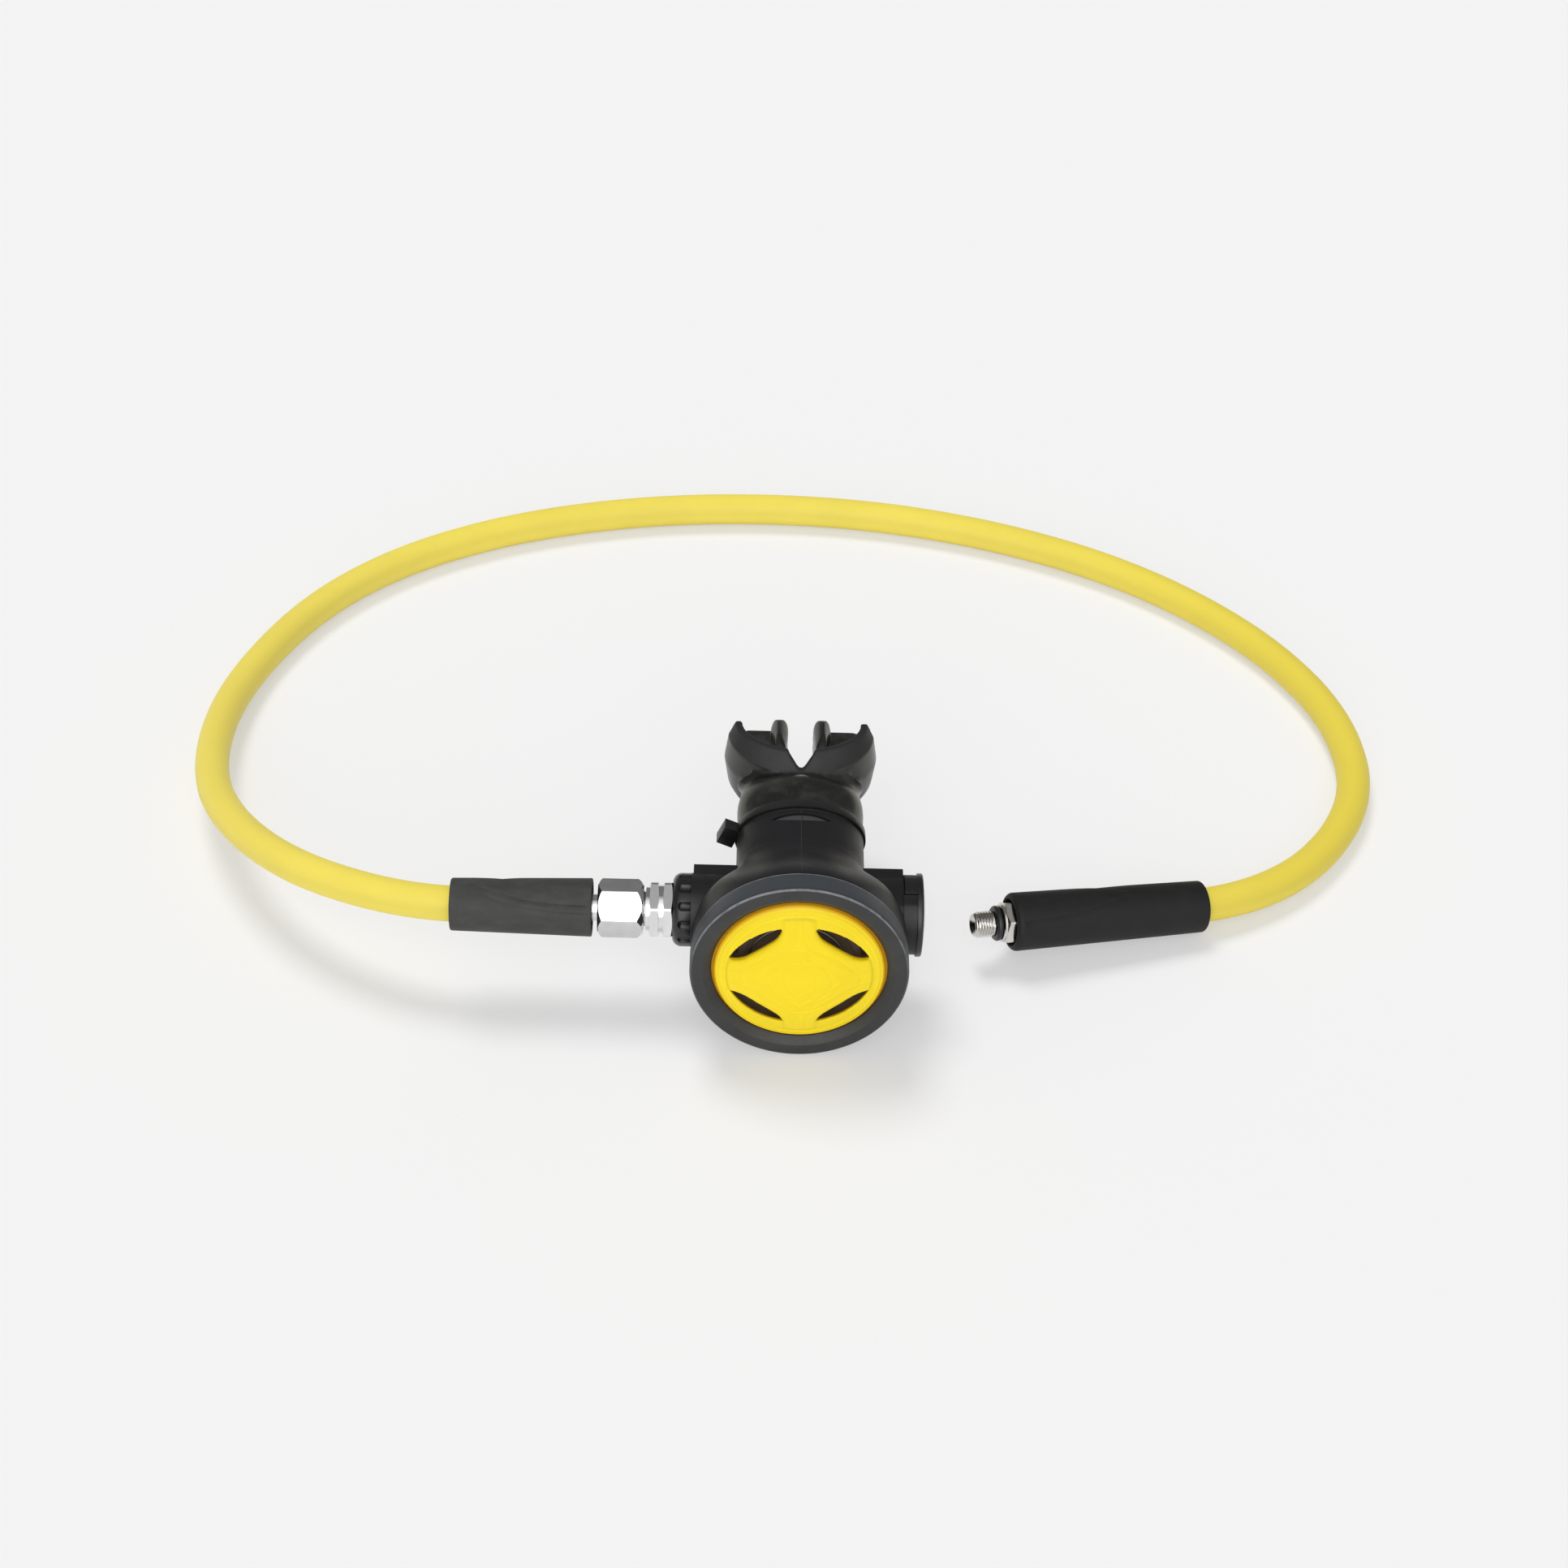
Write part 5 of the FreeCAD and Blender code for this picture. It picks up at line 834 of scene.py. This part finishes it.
class REGULATOR_OT_sleeves(bpy.types.Operator):
    """Mould the two rubber sleeves over the hose's ends"""

    bl_idname = "regulator.sleeves"
    bl_label = "Hose sleeves"

    def execute(self, context):
        sizes = context.scene.regulator_hose
        rubber = dusty_rubber("sleeve_rubber", sizes.sleeve_colour)
        clean = dusty_rubber("free_sleeve_rubber", shade(sizes.sleeve_colour, 0.3), 0.1, 0.55, 0.25)
        left, right = ends_of("hose_sleeve_inlet")
        length = right - left - 0.9
        inlet = lathe(
            "rubber_sleeve_inlet",
            sleeve_rings(sizes, right, -1, length, (10.3, 9.3), (0.5, 0.8), 26.0, inlet_facets),
            VALVE_AXIS, steps=288)
        settle(inlet, "sleeve_rubber", rubber, "hose_sleeve_inlet")
        free = lathe(
            "rubber_sleeve_free",
            sleeve_rings(sizes, 14.0, 1, 75.0, (10.6, 9.5), (2.0, 1.3), 29.0, free_facets),
            FREE_TIP, FREE_AXIS, steps=288)
        settle(free, "sleeve_rubber", clean, "hose_sleeve_free")
        return {"FINISHED"}


class REGULATOR_OT_cover(bpy.types.Operator):
    """Mould the yellow purge cover"""

    bl_idname = "regulator.cover"
    bl_label = "Purge cover"

    def execute(self, context):
        looks = context.scene.regulator_case
        cover = soft_copy("purge_cover", "yellow_cover", looks.cover_voxel, 5)
        self.raise_shield(cover, looks.shield_height / MM)
        yellow = cover_yellow("cover_yellow", looks.cover_colour, looks.rim_shade_colour)
        settle(cover, "cover_plastic", yellow, "purge_cover", body="purge_button")
        return {"FINISHED"}

    def raise_shield(self, cover, height):
        """Lifts the middle and its four arms out of the dome, and rounds a bead round the rim."""
        for vertex in cover.data.vertices:
            x = (vertex.co.x - RING_FOOT.x) / MM
            y = (vertex.co.y - RING_FOOT.y) / MM
            z = (vertex.co.z - RING_AXIS_HEIGHT) / MM
            reach = math.hypot(x, z)
            depth = y - DOME_FRONT - reach * reach / (2 * DOME_RADIUS)
            if reach < COVER_RIM and depth < 1.3:
                across = abs(x * math.cos(COVER_TURN) - z * math.sin(COVER_TURN))
                up = abs(x * math.sin(COVER_TURN) + z * math.cos(COVER_TURN))
                inside = self.inside_shield(across, up)
                ends = eased((COVER_RIM - 0.3 - reach) / 1.1)
                front = eased((1.3 - depth) / 0.8)
                lift = height * eased((inside + 0.5) / 2.0) * ends
                lift += self.bead(inside - 5.0) + self.bead(inside - 8.6) + self.bead(reach - 5.6)
                vertex.co.y -= lift * front * MM
            elif COVER_RIM + 1.6 < reach < 29.2 and y < 2.0:
                vertex.co.y += 0.22 * math.exp(-((reach - 28.3) / 0.3) ** 2) * MM

    def bead(self, away):
        """Height of a fine raised line at a distance from it."""
        return 0.2 * math.exp(-(away / 0.42) ** 2)

    def inside_shield(self, across, up):
        """How far a place in one quarter lies inside the four-armed shield's outline."""
        slant = 17.9 - 0.604 * across - 0.797 * up
        level = 7.3 - up
        upright = 5.9 - across
        blend = 1.4
        return blend * math.log(
            math.exp(slant / blend) + math.exp(level / blend) + math.exp(upright / blend))


class REGULATOR_OT_case(bpy.types.Operator):
    """Mould the hard plastics: the case, its rings and its cap, and the cable tie"""

    bl_idname = "regulator.case"
    bl_label = "Case, rings and tie"

    def execute(self, context):
        looks = context.scene.regulator_case
        grey = grained_plastic("ring_plastic", looks.ring_colour, 0.5, marks=ring_marks)
        black = grained_plastic("case_plastic", looks.case_colour, 0.44, marks=case_marks)
        glossy = grained_plastic("cap_plastic", looks.case_colour, 0.3, shine=0.55)
        nylon = grained_plastic("tie_nylon", (0.013, 0.013, 0.0135), 0.36, 2600.0)
        body = merged_copy("case_body", "black_case")
        tube = merged_copy("mouth_tube", "tube_end")
        shape_by(body, "BOOLEAN", operation="UNION", solver="EXACT", object=tube)
        bpy.data.objects.remove(tube)
        cutter = self.skin(CUT_WIDTH, CUT_REAR, CUT_THICKNESS, CUT_SUNK)
        shape_by(body, "BOOLEAN", operation="DIFFERENCE", solver="EXACT", object=cutter)
        bpy.data.objects.remove(cutter)
        round_edges(body, looks.edge_round)
        self.add_skin(body)
        settle(body, "case_plastic", black, "case_body", "mouth_tube")
        for node, name, width, slot, plastic in (
            ("front_ring", "charcoal_ring", looks.edge_round, "ring_plastic", grey),
            ("end_cap", "black_end_cap", looks.edge_round, "case_plastic", glossy),
            ("lock_ring", "scalloped_lock_ring", looks.edge_round, "case_plastic", glossy),
            ("tie_strap", "nylon_tie", 0.0002, "tie_nylon", nylon),
        ):
            settle(moulded_copy(node, name, width), slot, plastic, node)
        return {"FINISHED"}

    def add_skin(self, body):
        """Joins on a thin skin that runs smoothly from the drum into the tube."""
        skin = self.skin(1.0, SKIN_REAR, -SKIN_THICKNESS, 0.0)
        pick(skin)
        body.select_set(True)
        bpy.context.view_layer.objects.active = body
        bpy.ops.object.join()

    def skin(self, widest, rear, thickness, sunk):
        """A closed sheet on the shoulder, or sunk under it, thickened outwards or inwards."""
        front = RING_DEPTH + 0.05

        def point(row, column):
            along = front + (rear - front) * row / SKIN_ROWS
            return self.on_shoulder(along, (2 * column / SKIN_COLUMNS - 1.0) * widest, sunk)

        sheet = grid("shoulder_skin", SKIN_ROWS, SKIN_COLUMNS, point)
        shape_by(
            sheet, "SOLIDIFY", thickness=abs(thickness) * MM, offset=math.copysign(1.0, thickness))
        close(sheet)
        smooth(sheet, 40.0)
        return sheet

    def on_shoulder(self, along, turn, sunk):
        """A point of the skin; turn runs from -1 on the left, over the top, to 1 on the right."""
        side = eased((abs(turn) - 0.3) / 0.45)
        start = SHOULDER_FRONT[0] + (SHOULDER_FRONT[1] - SHOULDER_FRONT[0]) * side
        fallen = eased((along - start) / (SHOULDER_REAR - start))
        lift = 0.1 - sunk - 0.25 * eased((abs(turn) - 0.9) / 0.1)
        lift -= 0.2 * max(0.0, (along - SHOULDER_REAR) / (SKIN_REAR - SHOULDER_REAR))
        round_drum, round_tube = (math.radians(reach * turn) for reach in SKIN_REACH)
        drum = Vector((math.sin(round_drum), math.cos(round_drum))) * (DRUM_RADIUS + lift)
        across = math.sin(round_tube) * (TUBE_HALF[0] + lift)
        up = math.cos(round_tube) * (TUBE_HALF[1] + lift) + TUBE_MIDDLE
        return place(
            drum.x + (across - drum.x) * fallen, along,
            (drum.y + RING_RADIUS) * (1 - fallen) + up * fallen)


class REGULATOR_OT_soft_parts(bpy.types.Operator):
    """Mould the mouthpiece, the exhaust tee and the soft discs"""

    bl_idname = "regulator.soft_parts"
    bl_label = "Soft parts"

    def execute(self, context):
        looks = context.scene.regulator_case
        mouth = soft_copy("mouthpiece", "silicone_mouthpiece", looks.soft_voxel, 12)
        self.round_lugs(mouth)
        silicone = mouth_silicone("mouth_silicone", looks.silicone_colour)
        settle(mouth, "mouth_silicone", silicone, "mouthpiece")
        tee = soft_copy("exhaust_tee", "rubber_exhaust_tee", looks.soft_voxel, 4)
        rubber = dusty_rubber("tee_rubber", (0.02, 0.02, 0.021), 0.25)
        settle(tee, "tee_rubber", rubber, "exhaust_tee")
        clear = plain_rubber("clear_silicone", (0.26, 0.19, 0.13), 0.4)
        flap = moulded_copy("exhaust_valve", "silicone_exhaust_flap", 0.0001)
        settle(flap, "clear_silicone", clear, "exhaust_valve")
        middle = place(0.0, 0.0, RING_RADIUS)
        rim = lathe("silicone_diaphragm", self.rim_rings(), middle, (0.0, 1.0, 0.0), 120)
        settle(rim, "clear_silicone", clear, "diaphragm")
        edge = FOLD_ENDS[0] - 0.65
        flat = [(SKIN_FRONT, 0.4), (SKIN_FRONT, edge), (SKIN_BACK, edge), (SKIN_BACK, 0.4)]
        disc = lathe("diaphragm_middle", flat, middle, (0.0, 1.0, 0.0), 120)
        settle(disc, "clear_silicone", clear, body="diaphragm_centre")
        return {"FINISHED"}

    def rim_rings(self):
        """Bead and fold of the diaphragm, with a lip along which its middle moves."""
        inner, outer = FOLD_ENDS
        lip = SKIN_BACK + PURGE_TRAVEL + 0.2
        front, back = BEAD_DEPTHS
        low, high = BEAD_RADII
        rings = [(front, low), (front, high), (back, high), (back, low), (SKIN_BACK, low)]
        rings += [self.fold(SKIN_BACK, 0.1 * index, outer + 0.4, -6.4) for index in range(9)]
        rings += [(lip, inner + 0.1), (lip, inner - 0.5), (SKIN_FRONT, inner - 0.5)]
        rings += [self.fold(SKIN_FRONT, 0.1 * index, inner, outer - inner) for index in range(11)]
        return rings + [(SKIN_FRONT, low)]

    def fold(self, start, share, radius, width):
        """Ring of the fold at a share of its width."""
        return start + FOLD_DEPTH * math.sin(math.pi * share), radius + width * share

    def round_lugs(self, mouth):
        """Draws the upright lugs in towards their ends, as petals."""
        for vertex in mouth.data.vertices:
            x = (vertex.co.x - RING_FOOT.x) / MM
            y = (vertex.co.y - RING_FOOT.y) / MM
            z = vertex.co.z / MM - MOUTH_HEIGHT
            if y < LUG_FRONT or abs(abs(x) - LUG_MIDDLE) > 4.2 or abs(z) < 2.5:
                continue
            share = min(1.0, max(0.0, abs(z) / LUG_HALF_HEIGHT - 0.35) / 0.68)
            slim = math.sqrt(1.0 - 0.93 * share * share)
            middle = math.copysign(LUG_MIDDLE + 0.8 * share, x)
            vertex.co.x = RING_FOOT.x + (middle + (x - middle) * slim) * MM


class REGULATOR_OT_fittings(bpy.types.Operator):
    """Machine the nut, the hexagons and the free end's fitting"""

    bl_idname = "regulator.fittings"
    bl_label = "Metal fittings"

    def execute(self, context):
        looks = context.scene.regulator_metal
        self.steps = looks.lathe_steps
        chrome = plated("bright_chrome", looks.chrome_colour, 0.1)
        steel = plated("turned_steel", looks.steel_colour, 0.16)
        settle(self.nut(), "chrome_plate", chrome, "swivel_nut", body="nut")
        settle(self.tube(), "chrome_plate", chrome, "valve_tube")
        settle(self.inlet(), "chrome_plate", chrome, "inlet_fitting")
        settle(self.free_end(), "fitting_steel", steel, "end_fitting")
        return {"FINISHED"}

    def nut(self):
        """Swivel nut, chamfered more towards the regulator, with its bores."""
        left, right = ends_of("swivel_nut")
        wall = left + 4.7
        rings = [(left, STEM_BORE)]
        rings += hexagon_rings(NUT_FLATS, NUT_LEAN, left, right, (0.35, 0.9), (0.35, 1.3))
        rings += [(right, 7.9), (right - 0.6, 7.25), (wall, 7.25), (wall, STEM_BORE)]
        return lathe("chrome_swivel_nut", rings, VALVE_AXIS, steps=self.steps, crease=20.0)

    def tube(self):
        """Valve tube with its hexagon, and the openings for the lever and the air."""
        left, right = ends_of("valve_tube")
        face = ends_of("lock_ring")[0]
        rings = [(left, BARREL_BORE), (left, NECK_RADIUS)]
        rings += hexagon_rings(HEX_FLATS, HEX_LEAN, left, face, THIN_CHAMFER, THIN_CHAMFER)
        rings += [(face, BARREL_RADIUS), (right, BARREL_RADIUS), (right, BARREL_BORE)]
        piece = lathe("chrome_valve_tube", rings, VALVE_AXIS, steps=self.steps)
        low = RING_AXIS_HEIGHT / MM - 2.9
        self.cut_box(piece, (7.0, 25.0, low), (16.5, VALVE_DEPTH, low + 5.8))
        self.cut_box(piece, (-11.0, VALVE_DEPTH, low), (-1.0, 41.0, low + 5.8))
        return piece

    def cut_box(self, piece, low, high):
        """Cuts a box, given in millimetres from the ring's foot, out of a piece."""
        middle = [(a + b) / 2 for a, b in zip(low, high)]
        deselect()
        bpy.ops.mesh.primitive_cube_add(
            size=MM, location=place(*middle), scale=[b - a for a, b in zip(low, high)])
        cutter = bpy.context.object
        shape_by(piece, "BOOLEAN", operation="DIFFERENCE", solver="EXACT", object=cutter)
        bpy.data.objects.remove(cutter)

    def inlet(self):
        """Inlet fitting: socket, thread, shoulder, hexagon, neck and the tube for the orifice."""
        left, right = ends_of("inlet_fitting")
        barrel = ends_of("valve_tube")[0]
        face = barrel - 1.4
        hexagon_left = face - 3.35
        root = INLET_THREAD[1]
        rings = [(left, SOCKET_BORE), (left, root)]
        rings += thread_rings(left + 0.3, hexagon_left - 1.5, *INLET_THREAD)
        rings += [(hexagon_left - 1.3, root), (hexagon_left - 1.3, 7.9), (hexagon_left, 7.9)]
        rings += hexagon_rings(HEX_FLATS, HEX_LEAN, hexagon_left, face, THIN_CHAMFER, THIN_CHAMFER)
        rings += [(face, NECK_RADIUS), (barrel, NECK_RADIUS), (barrel, 5.1), (right, 5.1)]
        rings += [(right, ORIFICE_BORE), (left + 8.6, ORIFICE_BORE), (left + 8.6, SOCKET_BORE)]
        return lathe("chrome_inlet_fitting", rings, VALVE_AXIS, steps=self.steps)

    def free_end(self):
        """Port fitting at the free end, with distances from its tip."""
        groove, collar, face, shoulder, stem, tail = 7.7, 10.1, 11.1, 16.5, 19.0, 42.0
        root = PORT_THREAD[1]
        rings = [(1.5, FREE_BORE), (0.0, 3.4), (0.0, root - 0.3), (0.3, root)]
        rings += thread_rings(0.35, groove, *PORT_THREAD)
        rings += [(collar, root), (collar, 6.4), (collar + 0.3, 6.8), (face, 6.8)]
        rings += hexagon_rings(FREE_HEX_FLATS, HEX_LEAN, face, shoulder, (0.25, 0.6), (0.3, 0.3))
        rings += [(shoulder, 6.0), (stem, 6.0), (stem, 3.2), (tail, 3.2), (tail, FREE_BORE)]
        return lathe("steel_end_fitting", rings, FREE_TIP, FREE_AXIS, self.steps)


class REGULATOR_OT_insides(bpy.types.Operator):
    """Finish the valve and the other working parts inside"""

    bl_idname = "regulator.insides"
    bl_label = "Working parts"

    def execute(self, context):
        looks = context.scene.regulator_case
        metal = context.scene.regulator_metal
        plate = plated("inner_plate", shade(metal.steel_colour, 0.95), 0.28)
        wire = plated("spring_wire", shade(metal.steel_colour, 0.45), 0.35)
        brass = plated("crimped_brass", (0.72, 0.6, 0.36), 0.3)
        chrome = plated("stem_chrome", metal.chrome_colour, 0.16)
        black = grained_plastic("inner_plastic", (0.05, 0.034, 0.024), 0.5)
        brown = grained_plastic("retainer_plastic", (0.24, 0.175, 0.15), 0.5)
        natural = grained_plastic("natural_plastic", (0.62, 0.59, 0.52), 0.4, 2600.0, 0.02)
        seal = plain_rubber("seal_rubber", (0.012, 0.012, 0.012), 0.35)
        for material, nodes in (
            (black, "air_deflector"),
            (brown, "diaphragm_retainer diaphragm_plate"),
            (plate, "demand_lever lever_pivot_pin orifice poppet_lock_nut"),
            (natural, "poppet"),
            (seal, "poppet_seat orifice_o_ring valve_o_rings end_cap_o_ring"),
            (seal, "stem_o_ring end_fitting_o_ring"),
            (chrome, "hose_stem_inlet"),
            (brass, "ferrule_inlet ferrule_free"),
        ):
            for node in nodes.split():
                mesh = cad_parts[node].data
                mesh.materials.clear()
                mesh.materials.append(material)
        self.coil("purge_spring", "purge_coil", wire, "purge_press", 1, PURGE_TRAVEL)
        self.coil("poppet_spring", "poppet_coil", wire, "poppet_lift", 0, POPPET_TRAVEL)
        return {"FINISHED"}

    def coil(self, node, name, wire, joint, axis, travel):
        """A spring on its node's shape, with a mesh of its own; the joint is not used."""
        piece = merged_copy(node, name, 0.0)
        smooth(piece, 60.0)
        settle(piece, "spring_wire", wire, node)
        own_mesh(piece)


class REGULATOR_OT_stage(bpy.types.Operator):
    """Set up the camera, the floor and the lamps"""

    bl_idname = "regulator.stage"
    bl_label = "Stage"

    def execute(self, context):
        stage = context.scene.regulator_stage
        self.camera(context, stage)
        if stage.floor_shown:
            self.floor(stage)
        self.lamps(context, stage)
        self.surround(context, stage)
        context.scene.view_settings.view_transform = "Standard"
        return {"FINISHED"}

    def camera(self, context, stage):
        data = bpy.data.cameras.new("studio_camera")
        data.sensor_width = 36.0
        data.sensor_fit = "HORIZONTAL"
        data.lens = stage.lens
        data.clip_start = 0.01
        data.clip_end = 20.0
        camera = bpy.data.objects.new("studio_camera", data)
        context.scene.collection.objects.link(camera)
        ahead = Vector((
            math.sin(stage.azimuth) * math.cos(stage.pitch),
            math.cos(stage.azimuth) * math.cos(stage.pitch),
            -math.sin(stage.pitch)))
        level = Vector((math.cos(stage.azimuth), -math.sin(stage.azimuth), 0.0))
        above = level.cross(ahead)
        right = math.cos(stage.roll) * level + math.sin(stage.roll) * above
        up = -math.sin(stage.roll) * level + math.cos(stage.roll) * above
        turn = Matrix((right, up, -ahead)).transposed().to_4x4()
        camera.matrix_world = Matrix.Translation(place(*stage.station)) @ turn
        context.scene.camera = camera

    def floor(self, stage):
        deselect()
        bpy.ops.mesh.primitive_plane_add(size=8.0, location=(0.0, 0.0, -0.00005))
        floor = bpy.context.object
        floor.name = "studio_floor"
        board = new_board("floor_paper")
        paper = board.node("ShaderNodeBsdfDiffuse", None, {"Color": tuple(stage.floor_colour)})
        glow = board.node(
            "ShaderNodeEmission", None, {"Color": tuple(stage.floor_colour), "Strength": 1.0})
        straight, mirrored, through = self.rays(board)
        share = straight.most(mirrored).most(through) * stage.floor_glow
        floor.data.materials.append(board.show(board.blend(share, paper, glow)))

    def rays(self, board):
        """1 for what the camera sees: straight, in a mirror and through glass."""
        return [
            board.node("ShaderNodeLightPath", output=f"Is {kind} Ray")
            for kind in ("Camera", "Glossy", "Transmission")
        ]

    def lamps(self, context, stage):
        for name, strength, spread, tilt, turn in (
            ("key_lamp", stage.key_strength, 24.0, -21.0, -12.0),
            ("fill_lamp", stage.fill_strength, 60.0, 58.0, -10.0),
        ):
            data = bpy.data.lights.new(name, "SUN")
            data.energy = strength
            data.angle = math.radians(spread)
            lamp = bpy.data.objects.new(name, data)
            lamp.rotation_euler = (math.radians(tilt), math.radians(turn), 0.0)
            lamp.visible_glossy = name == "fill_lamp"
            context.scene.collection.objects.link(lamp)

    def surround(self, context, stage):
        """Even light, which metal sees as a bright front under a dim top and back."""
        world = bpy.data.worlds.new("studio_surround")
        context.scene.world = world
        board = Board(world, "ShaderNodeOutputWorld")
        white = (1.0, 1.0, 1.0)
        _, back, up = board.parts(board.node("ShaderNodeTexCoord", output="Generated"))
        glow = (up * 0.57 - back * 0.82).ramp(0.25, 0.9, 0.2, 1.1)
        even, front, pale = [
            board.node("ShaderNodeBackground", None, {"Color": colour, "Strength": strength})
            for colour, strength in (
                (white, stage.sky_strength), (white, glow), (tuple(stage.floor_colour), 1.0))
        ]
        straight, mirrored, through = self.rays(board)
        lit = board.blend(mirrored, even, front)
        board.show(board.blend(straight.most(through), lit, pale))


class REGULATOR_PT_panel(bpy.types.Panel):
    """Lists the regulator's pieces and the stage"""

    bl_idname = "REGULATOR_PT_panel"
    bl_label = "Second Stage Regulator"
    bl_space_type = "VIEW_3D"
    bl_region_type = "UI"
    bl_category = "Regulator"

    def draw(self, context):
        for step in STEPS:
            self.layout.operator(step.bl_idname)
        for group in SETTINGS:
            box = self.layout.box()
            box.label(text=group.__doc__)
            data = getattr(context.scene, SETTINGS[group])
            for key in group.__annotations__:
                box.prop(data, key)


SETTINGS = {
    HoseSettings: "regulator_hose",
    CaseSettings: "regulator_case",
    MetalSettings: "regulator_metal",
    StageSettings: "regulator_stage",
}
STEPS = (
    REGULATOR_OT_stage,
    REGULATOR_OT_hose,
    REGULATOR_OT_sleeves,
    REGULATOR_OT_cover,
    REGULATOR_OT_case,
    REGULATOR_OT_soft_parts,
    REGULATOR_OT_fittings,
    REGULATOR_OT_insides,
)


def register():
    for made in (*SETTINGS, *STEPS, REGULATOR_PT_panel):
        bpy.utils.register_class(made)
    for group, name in SETTINGS.items():
        setattr(bpy.types.Scene, name, PointerProperty(type=group))


def unregister():
    for name in SETTINGS.values():
        delattr(bpy.types.Scene, name)
    for made in reversed((*SETTINGS, *STEPS, REGULATOR_PT_panel)):
        bpy.utils.unregister_class(made)


def declare_hose():
    """Works out where the hose begins, once every piece that goes with it is there, and does nothing
    more with it.
    """
    tuple(place(*HOSE_ROUTE[0]))


def main():
    register()
    for step in STEPS:
        getattr(bpy.ops.regulator, step.bl_idname.split(".")[1])()
    declare_hose()
    deselect()


if __name__ == "__main__":
    main()
